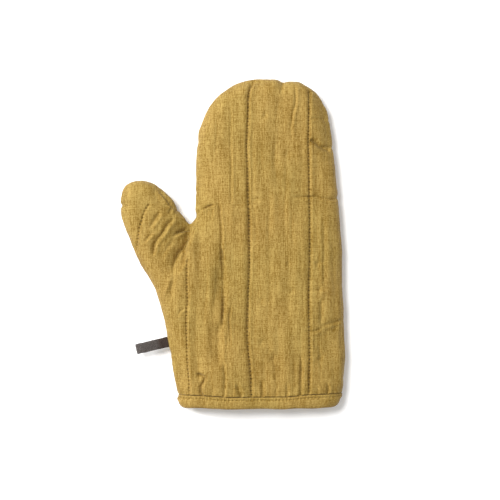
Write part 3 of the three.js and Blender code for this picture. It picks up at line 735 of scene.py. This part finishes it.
def rim_edges(faces):
    """Edges that only one face uses, in that face's direction."""
    pairs = np.vstack([faces[:, [0, 1]], faces[:, [1, 2]], faces[:, [2, 0]]])
    key = np.sort(pairs, axis=1)
    _, first, count = np.unique(key, axis=0, return_index=True, return_counts=True)
    return pairs[first[count == 1]]


def part_of(points, faces, *extras):
    """Only the points that the faces use, the faces renumbered, and the same rows of the extras."""
    used, again = np.unique(faces, return_inverse=True)
    return [points[used], again.reshape(faces.shape), *[extra[used] for extra in extras]]


def closed_between(upper, lower, faces):
    """Both faces of a layer, and the rim between them."""
    count = len(upper)
    rim = rim_edges(faces)
    a, b = rim[:, 0], rim[:, 1]
    walls = np.vstack([np.column_stack([b, a, a + count]), np.column_stack([b, a + count, b + count])])
    return np.vstack([upper, lower]), np.vstack([faces, faces[:, ::-1] + count, walls])


def new_piece(name, points, faces, material, uv, normals=None):
    """A mesh object, with its cloth's layout in hundreds of millimetres."""
    mesh = bpy.data.meshes.new(name)
    mesh.from_pydata((points * MM).tolist(), [], faces.tolist())
    mesh.polygons.foreach_set("use_smooth", np.ones(len(mesh.polygons), bool))
    layer = mesh.uv_layers.new(name="cloth")
    corner = np.zeros(len(mesh.loops), np.int32)
    mesh.loops.foreach_get("vertex_index", corner)
    layer.data.foreach_set("uv", (uv[corner] / UV_UNIT).astype(np.float32).ravel())
    mesh.materials.append(material)
    if normals is not None:
        mesh.normals_split_custom_set_from_vertices([tuple(n) for n in normals])
    mesh.update()
    piece = bpy.data.objects.new(name, mesh)
    bpy.context.collection.objects.link(piece)
    return piece


def cloth_uv(points, depth, direction, half):
    """Flat-pattern coordinates: the cloth of the rounded edge is laid out flat beyond the plan."""
    depth_table, arc = arc_table(half)
    extra = (arc[-1] - np.interp(depth, depth_table, arc)) - np.maximum(half["round"] - depth, 0)
    return points - direction * np.maximum(extra, 0)[:, None]


# ---------------------------------------------------------------- materials

def new_material(name):
    """An empty material with one shader, and that shader."""
    material = bpy.data.materials.new(name)
    material.use_nodes = True
    nodes = material.node_tree.nodes
    nodes.clear()
    output = nodes.new("ShaderNodeOutputMaterial")
    shader = nodes.new("ShaderNodeBsdfPrincipled")
    material.node_tree.links.new(shader.outputs[0], output.inputs[0])
    return material, shader


class Nodes:
    """Short forms for building a material's nodes."""

    def __init__(self, material):
        self.tree = material.node_tree

    def add(self, kind, **values):
        node = self.tree.nodes.new(kind)
        for key, value in values.items():
            setattr(node, key, value)
        return node

    def link(self, source, target):
        self.tree.links.new(source, target)

    def put(self, socket, value):
        if hasattr(value, "is_output"):
            self.link(value, socket)
        else:
            socket.default_value = value

    def math(self, operation, a, b=0.0, c=0.0):
        node = self.add("ShaderNodeMath", operation=operation)
        for socket, value in zip(node.inputs, (a, b, c)):
            self.put(socket, value)
        return node.outputs[0]

    def scaled(self, vector, x, y, z=1.0):
        node = self.add("ShaderNodeMapping")
        self.link(vector, node.inputs["Vector"])
        node.inputs["Scale"].default_value = (x, y, z)
        return node.outputs[0]

    def noise(self, vector, scale, detail=2.0, roughness=0.5):
        node = self.add("ShaderNodeTexNoise")
        self.link(vector, node.inputs["Vector"])
        node.inputs["Scale"].default_value = scale
        node.inputs["Detail"].default_value = detail
        node.inputs["Roughness"].default_value = roughness
        return node.outputs["Fac"]

    def ramp(self, value, low, high):
        """0 at low and under, 1 at high and over."""
        node = self.add("ShaderNodeMapRange")
        node.interpolation_type = "SMOOTHSTEP"
        for socket, number in zip(node.inputs, (value, low, high, 0.0, 1.0)):
            self.put(socket, number)
        return node.outputs[0]

    def mix(self, share, a, b, kind="MIX"):
        node = self.add("ShaderNodeMix", data_type="RGBA", blend_type=kind)
        self.put(node.inputs[0], share)
        for socket, colour in zip((node.inputs[6], node.inputs[7]), (a, b)):
            self.put(socket, (*colour, 1) if isinstance(colour, tuple) else colour)
        return node.outputs[2]

    def layout(self):
        return self.add("ShaderNodeUVMap", uv_map="cloth").outputs[0]

    def split(self, vector):
        node = self.add("ShaderNodeSeparateXYZ")
        self.link(vector, node.inputs[0])
        return node.outputs[0], node.outputs[1]

    def weighted(self, tone, *parts):
        """Adds each value to the tone, by its weight times its distance from the middle."""
        for value, weight in parts:
            tone = self.math("MULTIPLY_ADD", self.math("SUBTRACT", value, 0.5), weight, tone)
        return tone

    def bump(self, shader, height, strength, distance):
        node = self.add("ShaderNodeBump")
        node.inputs["Strength"].default_value = strength
        node.inputs["Distance"].default_value = distance
        self.link(height, node.inputs["Height"])
        self.link(node.outputs[0], shader.inputs["Normal"])


def set_values(shader, **values):
    """Sets the shader's inputs: specular_ior_level is its input Specular IOR Level."""
    for name, value in values.items():
        shader.inputs[name.replace("_", " ").title().replace("Ior", "IOR")].default_value = value


def linen(name, light, dark, thread=0.55, slub=1.0):
    """Plain-weave linen with streaks and slubs along both threads, from the cloth's own layout.

    Its scales are waves for each millimetre of cloth, first across the warp and then across the weft."""
    material, shader = new_material(name)
    n = Nodes(material)
    straight = n.scaled(n.layout(), UV_UNIT, UV_UNIT)
    wobble = n.noise(n.scaled(straight, 0.12, 0.12), 1.0)
    combine = n.add("ShaderNodeCombineXYZ")
    n.put(combine.inputs[0], n.math("MULTIPLY", wobble, 1.2))
    n.put(combine.inputs[1], n.math("MULTIPLY", wobble, -1.6))
    bent = n.add("ShaderNodeVectorMath", operation="ADD")
    n.link(straight, bent.inputs[0])
    n.link(combine.outputs[0], bent.inputs[1])
    cloth = bent.outputs[0]

    def streaks(x, y, detail=1.0):
        return n.noise(n.scaled(cloth, x, y), 1.0, detail)

    turn = 2 * math.pi / thread
    warp, weft = [n.math("SINE", n.math("MULTIPLY", way, turn)) for way in n.split(cloth)]
    weave = n.math("MULTIPLY", warp, weft)
    ribs = n.math("ADD", n.math("ABSOLUTE", warp), n.math("ABSOLUTE", weft))
    warp_streak, weft_streak = streaks(2.2, 0.12), streaks(0.06, 1.5)
    grain = streaks(2.5, 2.5, 0.0)
    slub_weft = n.ramp(streaks(0.07, 1.7), 0.68, 0.76)
    slub_warp = n.ramp(streaks(1.9, 0.06), 0.70, 0.80)
    tone = n.weighted(0.5, (streaks(1.15, 0.03), 0.95), (warp_streak, 0.85), (weft_streak, 0.85),
                      (streaks(2.0, 0.26, 0.0), 0.8), (streaks(0.45, 2.2, 0.0), 0.9), (grain, 1.1),
                      (streaks(0.09, 0.04), 0.5))
    for value, weight in ((slub_weft, 0.8 * slub), (slub_warp, 0.45 * slub), (weave, 0.12)):
        tone = n.math("MULTIPLY_ADD", value, weight, tone)
    colour = n.mix(n.ramp(tone, 0.0, 1.0), dark, light)
    faded = n.ramp(streaks(0.02, 0.014), 0.3, 0.7)
    colour = n.mix(1.0, colour, n.mix(faded, (1.01, 0.99, 1.0), (0.985, 1.005, 0.99)), "MULTIPLY")
    n.link(colour, shader.inputs["Base Color"])
    set_values(shader, roughness=0.68, specular_ior_level=0.3, sheen_weight=0.05, sheen_roughness=0.5)
    height = n.math("MULTIPLY_ADD", ribs, 0.5, n.math("MULTIPLY", warp_streak, 1.2))
    for value, weight in ((weft_streak, 0.8), (slub_weft, 0.9 * slub), (grain, 0.8)):
        height = n.math("MULTIPLY_ADD", value, weight, height)
    n.bump(shader, height, 0.5, 0.00022)
    return material


def srgb(*values):
    """A colour as seen on a screen, from 0 to 255, in linear light."""
    return tuple((v / 255 / 12.92) if v <= 10.31 else ((v / 255 + 0.055) / 1.055) ** 2.4 for v in values)


LINEN = linen("ochre_linen", srgb(175, 146, 76), srgb(117, 86, 1))
LINING = linen("lining_cotton", srgb(228, 218, 196), srgb(196, 183, 158), 0.4, 0.3)


def wadding():
    """Needled cotton fibre."""
    material, shader = new_material("cotton_wadding")
    n = Nodes(material)
    place = n.add("ShaderNodeTexCoord").outputs["Object"]
    bend = n.noise(place, 60, 2)
    fibre = n.noise(n.scaled(place, 900, 260, 900), 1.0, 4.0, 0.75)
    clump = n.noise(place, 240, 3)
    tone = n.math("MULTIPLY_ADD", fibre, 0.6, n.math("MULTIPLY", n.math("ADD", clump, bend), 0.3))
    colour = n.mix(n.ramp(tone, 0.35, 0.85), srgb(205, 198, 182), srgb(240, 236, 226))
    n.link(colour, shader.inputs["Base Color"])
    set_values(shader, roughness=0.98, sheen_weight=0.3)
    n.bump(shader, tone, 0.7, 0.0006)
    return material


def thread(name, light, dark):
    """Twisted sewing thread: its coils run round each stitch."""
    material, shader = new_material(name)
    n = Nodes(material)
    along, around = n.split(n.layout())
    coil = n.math("ADD", n.math("MULTIPLY", along, 900.0), n.math("MULTIPLY", around, UV_UNIT * 2 * math.pi))
    twist = n.math("ABSOLUTE", n.math("SINE", coil))
    fuzz = n.noise(n.scaled(n.layout(), 400, 400), 1.0, 2.0)
    tone = n.math("MULTIPLY_ADD", twist, 0.6, n.math("MULTIPLY", fuzz, 0.4))
    n.link(n.mix(tone, dark, light), shader.inputs["Base Color"])
    set_values(shader, roughness=0.7, sheen_weight=0.2)
    n.bump(shader, twist, 0.6, 0.00008)
    return material


def twill_tape():
    """Grey herringbone tape, darker and browner towards the seam."""
    material, shader = new_material("grey_twill_tape")
    n = Nodes(material)
    cloth = n.scaled(n.layout(), UV_UNIT, UV_UNIT)
    out, across = n.split(cloth)
    mirror = n.math("ABSOLUTE", across)
    rib = n.math("SINE", n.math("MULTIPLY", n.math("ADD", out, n.math("MULTIPLY", mirror, 1.3)), 8.4))
    fleck = n.noise(n.scaled(cloth, 2.6, 2.6), 1.0, 3.0, 0.7)
    worn = n.noise(n.scaled(cloth, 0.7, 0.5), 1.0, 1.0)
    tone = n.math("MULTIPLY_ADD", rib, 0.2, n.math("MULTIPLY_ADD", fleck, 1.5, -0.3))
    tone = n.math("MULTIPLY_ADD", worn, 0.35, n.math("SUBTRACT", tone, 0.17))
    grey = n.mix(n.ramp(tone, 0.1, 0.9), srgb(36, 31, 30), srgb(126, 118, 113))
    brown = n.mix(n.ramp(tone, 0.1, 0.9), srgb(36, 27, 23), srgb(92, 76, 68))
    along = n.weighted(out, (fleck, 1.2))
    # Towards the seam the tape's colour turns darker and browner.
    n.link(n.mix(n.ramp(along, TAPE_BROWN - 2.5, TAPE_BROWN + 2.5), brown, grey), shader.inputs["Base Color"])
    set_values(shader, roughness=0.9, specular_ior_level=0.25)
    n.bump(shader, n.math("ADD", rib, fleck), 0.7, 0.0002)
    return material


WADDING = wadding()
THREAD = thread("ochre_thread", srgb(172, 138, 66), srgb(110, 80, 22))
# The hem's thread is darker than the quilting thread: its own ochre colour with painted shade, for the dark
# dashes of the sunken topstitch.
SHADED_HEM_THREAD = thread("hem_thread_painted_shade", srgb(132, 102, 44), srgb(86, 62, 22))
SEAM_THREAD = thread("seam_thread", srgb(214, 190, 130), srgb(160, 132, 76))
TAPE = twill_tape()


# ---------------------------------------------------------------- covers, wadding and linings

def split_parts(name, points, faces):
    """The hand's and fingers' part of a panel, and the thumb's part."""
    thumb = within(points[faces].mean(1)[:, :2], THUMB_REGION)
    return (name, faces[~thumb]), (name + "_thumb", faces[thumb])


INNER_STEP = 3.0  # mesh step of the layers inside
WADDING_INSETS = (1.1, 6.2)  # from the cover's outer face, to each face of the layer
LINING_INSETS = (6.5, 7.3)


def bend_fingers(piece):
    """Bakes the piece's placement into its mesh."""
    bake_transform(piece)


def bend_thumb(piece):
    """Bakes the piece's placement into its mesh."""
    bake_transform(piece)


def bend(piece, label):
    """Bakes a panel's placement into its mesh, through bend_thumb for the thumb's panels and bend_fingers for
    the others.
    """
    if label.endswith("_thumb"):
        bend_thumb(piece)
    else:
        bend_fingers(piece)


def replaced_nodes(label):
    """The CAD nodes that one piece stands for."""
    if label.endswith("_thumb"):
        return [label]
    return [label + "_hand", label + "_fingers"]


def add_cover(half, side, step):
    """The linen of a half, with its creases and quilting in the mesh."""
    points, depth, direction, faces = plan_mesh(half, step, fine_lines=FINE_LINES[side])
    uv = cloth_uv(points, depth, direction, half)
    base, normal, relief = outer_face(points, depth, direction, half)
    place = seam_drawn(base + normal * relief[:, None], depth, direction, half)
    if half is BACK:
        faces = faces[:, ::-1]
    shade = vertex_normals(place, faces)
    for label, chosen in split_parts(f"{side}_cover", points, faces):
        p, f, nrm, u = part_of(place, chosen, shade, uv)
        both, closed = closed_between(p, p - nrm * SHEET, f)
        piece = new_piece(label + "_cloth", both, closed, LINEN, np.vstack([u, u]), np.vstack([nrm, -nrm]))
        finish_layer(piece, label)


def finish_layer(piece, label):
    """What the cover, the wadding and the lining all go through: their placement is baked and the CAD nodes
    that they stand for are hidden.
    """
    bend(piece, label)
    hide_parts(*replaced_nodes(label))


def add_inner(half, side, kind, top, bottom, material, slot):
    """The wadding or the lining of a half, between two insets from the cover's outer face."""
    pad = kind == "wadding"
    points, depth, direction, faces = plan_mesh(half, INNER_STEP)
    uv = cloth_uv(points, depth, direction, half)
    upper = layer_face(points, depth, direction, half, top, follow=pad)
    lower = layer_face(points, depth, direction, half, bottom, follow=False)
    if half is BACK:
        faces = faces[:, ::-1]
    for label, chosen in split_parts(f"{side}_{kind}", points, faces):
        u1, f, u2, u = part_of(upper, chosen, lower, uv)
        both, closed = closed_between(u1, u2, f)
        piece = new_piece(label + ("_pad" if pad else "_cloth"), both, closed, material, np.vstack([u, u]))
        finish_layer(piece, label)


for one_half, one_side, fineness in ((FRONT, "front", 0.95), (BACK, "back", 1.8)):
    add_cover(one_half, one_side, fineness)
    add_inner(one_half, one_side, "wadding", *WADDING_INSETS, WADDING, "wadding")
    add_inner(one_half, one_side, "lining", *LINING_INSETS, LINING, "lining_cotton")


# ---------------------------------------------------------------- stitches

def surface(points, half):
    """Place and normal of the cover's outer face over any points of the plan."""
    depth, direction = depths(points)
    base, normal, relief = outer_face(points, depth, direction, half)
    return seam_drawn(base + normal * relief[:, None], depth, direction, half), normal


def stitch_mesh(centres, along, normal, radius=STITCH["radius"]):
    """One short bowed capsule for each stitch, its ends dipping into the cloth."""
    rings, sides, length = 7, 6, STITCH["length"]
    t = np.linspace(-1, 1, rings)
    taper = np.sqrt(np.maximum(0.12, 1 - np.abs(t) ** 3))
    rise = STITCH["proud"] - STITCH["dip"] * np.abs(t) ** 2.5
    across = unit(np.cross(normal, along))
    turn = np.arange(sides) / sides * 2 * math.pi
    points, faces, uv = [], [], []
    for number in range(len(centres)):
        start = number * (rings * sides + 2)
        spine = centres[number] + t[:, None] * along[number] * length / 2 + rise[:, None] * normal[number]
        for k in range(rings):
            ring = spine[k] + radius * taper[k] * (
                np.cos(turn)[:, None] * across[number] + np.sin(turn)[:, None] * normal[number])
            points.append(ring)
            uv.append(np.column_stack([np.full(sides, t[k] * length / 2), turn / (2 * math.pi)]))
        points.append(spine[[0, -1]])
        uv.append(np.array([[t[0], 0], [t[-1], 0]]) * length / 2)
        first, last = start + rings * sides, start + rings * sides + 1
        for k in range(rings - 1):
            a = start + k * sides + np.arange(sides)
            b = start + k * sides + (np.arange(sides) + 1) % sides
            faces += [np.column_stack([a, b, b + sides]), np.column_stack([a, b + sides, a + sides])]
        ring = start + np.arange(sides)
        faces.append(np.column_stack([np.roll(ring, -1), ring, np.full(sides, first)]))
        ring = ring + (rings - 1) * sides
        faces.append(np.column_stack([ring, np.roll(ring, -1), np.full(sides, last)]))
    return np.vstack(points), np.vstack(faces), np.vstack(uv)


def square_to(normal, along):
    """The normals, turned square to the stitches."""
    return unit(normal - along * (normal * along).sum(1)[:, None])


def line_stitches(line, half, low, high):
    """Where the stitches of a line lie: centre, direction and normal of each."""
    middles = resample(line, STITCH["pitch"] / 2)[1:-1:2]
    middles = middles[(middles[:, 1] > low) & (middles[:, 1] < high)]
    tangent = unit(np.gradient(middles, axis=0))
    place, normal = surface(middles, half)
    ahead, _ = surface(middles + tangent * 0.5, half)
    behind, _ = surface(middles - tangent * 0.5, half)
    along = unit(ahead - behind)
    return place, along, square_to(normal, along)


QUILTING_ENDS = {"left": 3.0, "middle": 144.0, "right": 133.0, "thumb": 60.0}  # no stitches past this y


def add_quilting():
    """The stitches of the four quilting lines, on the front and on the back."""
    low = HEM_TOP + 1.2
    for (line, high), route in zip(QUILTING_ENDS.items(), QUILTING):
        for half, side in ((FRONT, "front"), (BACK, "back")):
            points, faces, uv = stitch_mesh(*line_stitches(route, half, low, high))
            if half is BACK:
                points[:, 2] = np.maximum(points[:, 2], FLOOR_GAP / 2)
            piece = new_piece(f"quilting_{line}_{side}_stitches", points, faces, THREAD, uv)
            if line == "thumb":
                bend_thumb(piece)
                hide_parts(f"quilting_thumb_{side}")
            elif line == "left":
                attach(piece, "hand")
                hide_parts(f"quilting_left_hand_{side}")
            else:
                bend_fingers(piece)
                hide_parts(f"quilting_{line}_hand_{side}", f"quilting_{line}_fingers_{side}")


add_quilting()


SEAM_INSET, SEAM_THREAD_RADIUS = 5.0, 0.14
FOLD_Y = JOINTS["finger_fold"]["pos_m"][1] / MM
FOLD_BREAK = 1.5  # half the break of the seam's thread at the finger fold
# Each thread follows the edge inside a box, given by its low and its high corner.
SEAM_BOXES = {
    "hand_left": ((-FAR_AWAY, HEM_TOP), (0, -46)),
    "thumb": ((-FAR_AWAY, -36), (-41, 62)),
    "fingers": ((-42, FOLD_Y + FOLD_BREAK), (FAR_AWAY, FAR_AWAY)),
    "hand_right": ((0, HEM_TOP), (FAR_AWAY, FOLD_Y - FOLD_BREAK)),
}


def add_seam_threads():
    """The side seam's stitches, in the space between the front and the back."""
    route = EDGE + EDGE_NORMAL * SEAM_INSET
    for name, (low, high) in SEAM_BOXES.items():
        chosen = route[((EDGE > low) & (EDGE < high)).all(1)]
        at = resample(chosen, STITCH["pitch"] / 2)[1:-1:2]
        along = unit(np.gradient(at, axis=0))
        flat = np.zeros((len(at), 1))
        centre = np.hstack([at, flat + SEAM_Z])
        points, faces, uv = stitch_mesh(centre, np.hstack([along, flat]), np.hstack([flat, flat, flat + 1]),
                                        radius=SEAM_THREAD_RADIUS)
        piece = new_piece(f"seam_thread_{name}_stitches", points, faces, SEAM_THREAD, uv)
        if name == "thumb":
            bend_thumb(piece)
        elif name == "hand_left":
            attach(piece, "hand")
        else:
            bend_fingers(piece)
        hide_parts(f"seam_thread_{name}")


add_seam_threads()


# ---------------------------------------------------------------- cuff binding

BINDING = 0.7  # thickness of the tape
# Round the edge of the cuff, from the outer stitched edge to the inner one: y and inset.
BINDING_PROFILE = [(HEM_TOP, 1.15), (HEM_TOP - 0.4, 0.35), (HEM_TOP - 1.2, 0.15), (HEM_TOP - 2.0, 0.45),
                   (HEM_TOP - 3.0, 0.1), (HEM_TOP - 5.5, -0.1), (HEM_TOP - 8.4, 0.2), (HEM_TOP - 9.9, 1.1),
                   (MOUTH_Y + 1.1, 3.0), (MOUTH_Y + 1.1, 5.4), (HEM_TOP - 9.4, 7.5), (HEM_TOP - 7, 8.3),
                   (HEM_TOP - 3.5, 8.5), (HEM_TOP - 0.4, 8.0)]
HEM_STITCHES = (HEM_TOP - 2.0, 0.4)  # y and inset
HEM_HOLE = 1.4  # depth of the hole at each end of a stitch
BINDING_LUMP = 0.55  # how far the outer face of the cloth waves in and out
INNER_LUMP = 0.15


def mouth_ring(step):
    """Round the mouth: across the front from the left, and back across the back."""
    left, right = edge_x(np.array([HEM_TOP]))
    width = float(right[0] - left[0])
    parts = []
    for half in (FRONT, BACK):
        table, arc = arc_table(half)
        extra = arc[-1] - half["round"]
        total = width + 2 * extra
        at = np.linspace(0, total, round(total / step) + 1)
        near = np.interp(at, arc, table)
        far = np.interp(total - at, arc, table)
        x = np.where(at < arc[-1], near, np.where(total - at < arc[-1], width - far, at - extra))
        depth = np.minimum(x, width - x)
        side = np.where(x < width / 2, 1.0, -1.0)
        direction = np.column_stack([side, np.zeros(len(x))])
        parts.append((x / width, depth, direction, half, at))
    return parts


def ring_row(parts, y, inset, lump):
    """One row of the binding, all the way round."""
    rows = []
    for share, depth, direction, half, at in parts:
        along = at if half is FRONT else at + OTHER_NOISE_ROUND
        wander = 0.9 * (noise(along / 15, 3, 14) - 0.5)
        ys = y + wander * np.clip((HEM_TOP - 4 - y) / 6, 0, 1)
        left, right = edge_x(ys)
        plan = np.column_stack([left + share * (right - left), ys])
        normal = base_normal(depth, direction, half)
        wave = 0.9 * (noise(along / 7, y / 14, 15) - 0.5) + 0.5 * (noise(along / 2.8, y / 9, 16) - 0.5)
        holes = (0.5 + 0.5 * np.cos(along / STITCH["pitch"] * 2 * math.pi)) ** 2
        holes *= np.exp(-((y - HEM_STITCHES[0]) / 0.6) ** 2)
        offset = -inset + lump * wave - HEM_HOLE * holes
        place = np.column_stack([plan, base_height(plan, depth, half)]) + normal * offset[:, None]
        rows.append(place if half is FRONT else place[::-1])
    row = np.vstack([rows[0], rows[1]])
    row[:, 2] = np.maximum(row[:, 2], FLOOR_GAP)
    return round_cuff(row)


def grid_faces(rows, columns, close_rows, close_columns):
    """The squares between the points of a grid, which may close on itself either way."""
    faces = []
    for i in range(rows if close_rows else rows - 1):
        for j in range(columns if close_columns else columns - 1):
            a, b = i * columns + j, i * columns + (j + 1) % columns
            c, d = ((i + 1) % rows) * columns + (j + 1) % columns, ((i + 1) % rows) * columns + j
            faces.append((a, b, c, d))
    return np.array(faces)


def left_of(line):
    """The direction to the left of a line, at each of its points."""
    tangent = unit(np.gradient(line, axis=0))
    return np.column_stack([-tangent[:, 1], tangent[:, 0]])


def inset_profile(profile, by):
    """The same profile, one thickness further inside its bend."""
    return profile + left_of(profile) * by


def add_binding():
    """The linen folded over the cuff's edge, and its layout."""
    parts = mouth_ring(STITCH["pitch"] / 4)
    outer = resample(spline(BINDING_PROFILE, 8), 0.6)
    inner = inset_profile(outer, BINDING)[::-1]
    rows = [ring_row(parts, y, inset, BINDING_LUMP if inset < 4 else INNER_LUMP)
            for y, inset in np.vstack([outer, inner])]
    count = len(rows[0])
    faces = grid_faces(len(rows), count, True, True)
    points = np.vstack(rows)
    if signed_volume(points, faces) < 0:
        faces = faces[:, ::-1]
    ring_at, way = distance_along(rows[0]), distance_along(outer)
    v = np.concatenate([way, way[::-1]])
    uv = np.column_stack([np.tile(ring_at, len(rows)), np.repeat(v, count)])
    piece = new_piece("cuff_binding_folded", points, faces, LINEN, uv)
    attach(piece, "hand")
    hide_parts("cuff_binding")


def signed_volume(points, faces):
    """Six times a mesh's volume: below 0 where its faces look inwards."""
    a, b, c = points[faces[:, 0]], points[faces[:, 1]], points[faces[:, 2]]
    volume = (a * np.cross(b, c)).sum()
    if faces.shape[1] == 4:
        volume += (a * np.cross(c, points[faces[:, 3]])).sum()
    return volume


def add_topstitch():
    """Stitches all round, along the binding's outer edge."""
    parts = mouth_ring(STITCH["pitch"] / 2)
    row = ring_row(parts, HEM_STITCHES[0], HEM_STITCHES[1], BINDING_LUMP)
    wide = ring_row(parts, HEM_STITCHES[0], HEM_STITCHES[1] - 1.0, BINDING_LUMP)
    along = unit(np.roll(row, -1, axis=0) - np.roll(row, 1, axis=0))
    normal = square_to(wide - row, along)
    chosen = np.arange(1, len(row) - 1, 2)
    chosen = chosen[row[chosen, 2] > 1.2 * STITCH["radius"]]
    points, faces, uv = stitch_mesh(row[chosen], along[chosen], normal[chosen])
    points[:, 2] = np.maximum(points[:, 2], FLOOR_GAP / 2)
    piece = new_piece("binding_topstitches", points, faces, SHADED_HEM_THREAD, uv)
    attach(piece, "hand")
    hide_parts("binding_topstitch")


add_binding()
add_topstitch()


# ---------------------------------------------------------------- hanging loop

LOOP = {"root": (-57.5, -89.4), "out": (-0.974, -0.227), "length": 30.7, "wide": 9.6, "tip": 8.9,
        "thick": 0.95}
TAIL = {"from": 3.7, "to": 0.1, "apart": 0.55, "thick": 1.0}  # its ends, inwards from the root
LOOP_WAVE = 0.35  # how much the tape's edges wander
# Seen from its side, from the seam round the tip and back: out and up.
LOOP_SIDE = [(0.6, -0.62), (4, -0.8), (9, -1.7), (15, -2.7), (21, -2.9), (26.5, -2.1), (29.6, -0.4),
             (30.2, 1.7), (29.5, 3.7), (26.5, 5.0), (21, 4.6), (15, 3.3), (9, 1.9), (4, 0.85), (0.6, 0.65)]


def loop_place(out, up, across):
    """From the loop's own directions to the frame's."""
    ox, oy = LOOP["out"]
    x = LOOP["root"][0] + ox * out - oy * across
    y = LOOP["root"][1] + oy * out + ox * across
    return np.stack([x, y, SEAM_Z + up], axis=-1)


def tape_band(line, half_width, thick, wave=0.0):
    """A strip of tape along a line seen from its side, as a closed mesh, and its layout."""
    side, along, steps = left_of(line), distance_along(line), 14
    t = np.linspace(-1, 1, steps)
    round_edge = np.sqrt(np.maximum(0, 1 - np.abs(t) ** 8))
    rows, uvs = [], []
    for k, (out, up) in enumerate(line):
        wide = half_width[k] + wave * (noise(along[k] / 3.0, np.array([0.0, 5.0]), 17) - 0.5)
        across = np.where(t < 0, t * wide[0], t * wide[1])
        lift = 0.5 * thick * np.maximum(round_edge, 0.25)
        lift += wave * 0.25 * (noise(across / 2.2, along[k] / 2.2, 18) - 0.5)
        over = loop_place(out + side[k, 0] * lift, up + side[k, 1] * lift, across)
        under = loop_place(out - side[k, 0] * lift, up - side[k, 1] * lift, across)
        rows.append(np.vstack([over, under[::-1]]))
        layout = np.column_stack([np.full(steps, out), across])
        uvs.append(np.vstack([layout, layout[::-1]]))
    count = 2 * steps
    faces = [tuple(f) for f in grid_faces(len(rows), count, False, True)]
    last = (len(rows) - 1) * count
    for a in range(steps - 1):
        b, c, d = a + 1, count - 2 - a, count - 1 - a
        faces.append((b, a, d, c))
        faces.append((last + a, last + b, last + c, last + d))
    points, faces = np.vstack(rows), np.array(faces)
    if signed_volume(points, faces) < 0:
        faces = faces[:, ::-1]
    return points, faces, np.vstack(uvs)


def add_loop():
    """The bent tape that the mitt hangs from."""
    line = resample(spline(LOOP_SIDE, 16), 0.7)
    share = np.clip(line[:, 0] / LOOP["length"], 0, 1)
    half_width = 0.5 * (LOOP["wide"] + (LOOP["tip"] - LOOP["wide"]) * share)
    points, faces, uv = tape_band(line, half_width, LOOP["thick"], LOOP_WAVE)
    piece = new_piece("hanging_loop_tape", points, faces, TAPE, uv)
    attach(piece, "loop")
    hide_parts("hanging_loop")


def add_tails():
    """The loop's two ends, flat on each other inside the seam."""
    parts, faces, uvs, start, rows = [], [], [], 0, 8
    for up in (-TAIL["apart"], TAIL["apart"]):
        line = np.column_stack([np.linspace(-TAIL["from"], -TAIL["to"], rows), np.full(rows, up)])
        p, f, uv = tape_band(line, np.full(rows, LOOP["wide"] / 2), TAIL["thick"])
        parts.append(p)
        faces.append(f + start)
        uvs.append(uv)
        start += len(p)
    piece = new_piece("loop_tape_ends", np.vstack(parts), np.vstack(faces), TAPE, np.vstack(uvs))
    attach(piece, "hand")
    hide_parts("loop_tails")


add_loop()
add_tails()


# ---------------------------------------------------------------- stage, light and camera

def make_stage():
    """A pale table, so large that no edge of it shows."""
    material, shader = new_material("pale_floor")
    n = Nodes(material)
    shade = n.noise(n.add("ShaderNodeTexCoord").outputs["Object"], 3.0)
    n.link(n.mix(shade, (0.93, 0.93, 0.93), (0.96, 0.96, 0.96)), shader.inputs["Base Color"])
    shader.inputs["Roughness"].default_value = 0.9
    shader.inputs["Emission Color"].default_value = (1, 1, 1, 1)
    shader.inputs["Emission Strength"].default_value = 0.15  # lifts the shadow, as a lit white table does
    bpy.ops.mesh.primitive_plane_add(size=8, location=(0, 0, 0))
    floor = bpy.context.object
    floor.name = "floor"
    floor.data.materials.append(material)


def area_light(name, place, size, power):
    """A round white light, turned to the middle of the mitt."""
    data = bpy.data.lights.new(name, "AREA")
    data.shape, data.size, data.energy = "DISK", size, power
    light = bpy.data.objects.new(name, data)
    light.location = place
    light.rotation_euler = (-Vector(place)).to_track_quat("-Z", "Y").to_euler()
    bpy.context.collection.objects.link(light)


def make_light():
    """A soft key light over the upper left, and a low one from the left that brings out the relief."""
    area_light("key", (-0.72, 0.62, 2.05), 0.8, 47)
    area_light("relief", (-1.75, 0.7, 0.98), 0.5, 34)
    world = bpy.data.worlds.new("studio")
    world.use_nodes = True
    world.node_tree.nodes["Background"].inputs["Color"].default_value = (1, 1, 1, 1)
    world.node_tree.nodes["Background"].inputs["Strength"].default_value = 0.44
    bpy.context.scene.world = world
    bpy.context.scene.view_settings.view_transform = "Standard"


def make_camera():
    """Straight above the mitt: the view is 0.456 m wide at the height of its seam."""
    view_width, lens = 0.456, 110
    data = bpy.data.cameras.new("camera")
    data.lens = lens
    camera = bpy.data.objects.new("camera", data)
    distance = view_width * lens / data.sensor_width
    camera.location = (0.0164, -0.0059, SEAM_Z * MM + distance)
    bpy.context.collection.objects.link(camera)
    bpy.context.scene.camera = camera


make_stage()
make_light()
make_camera()
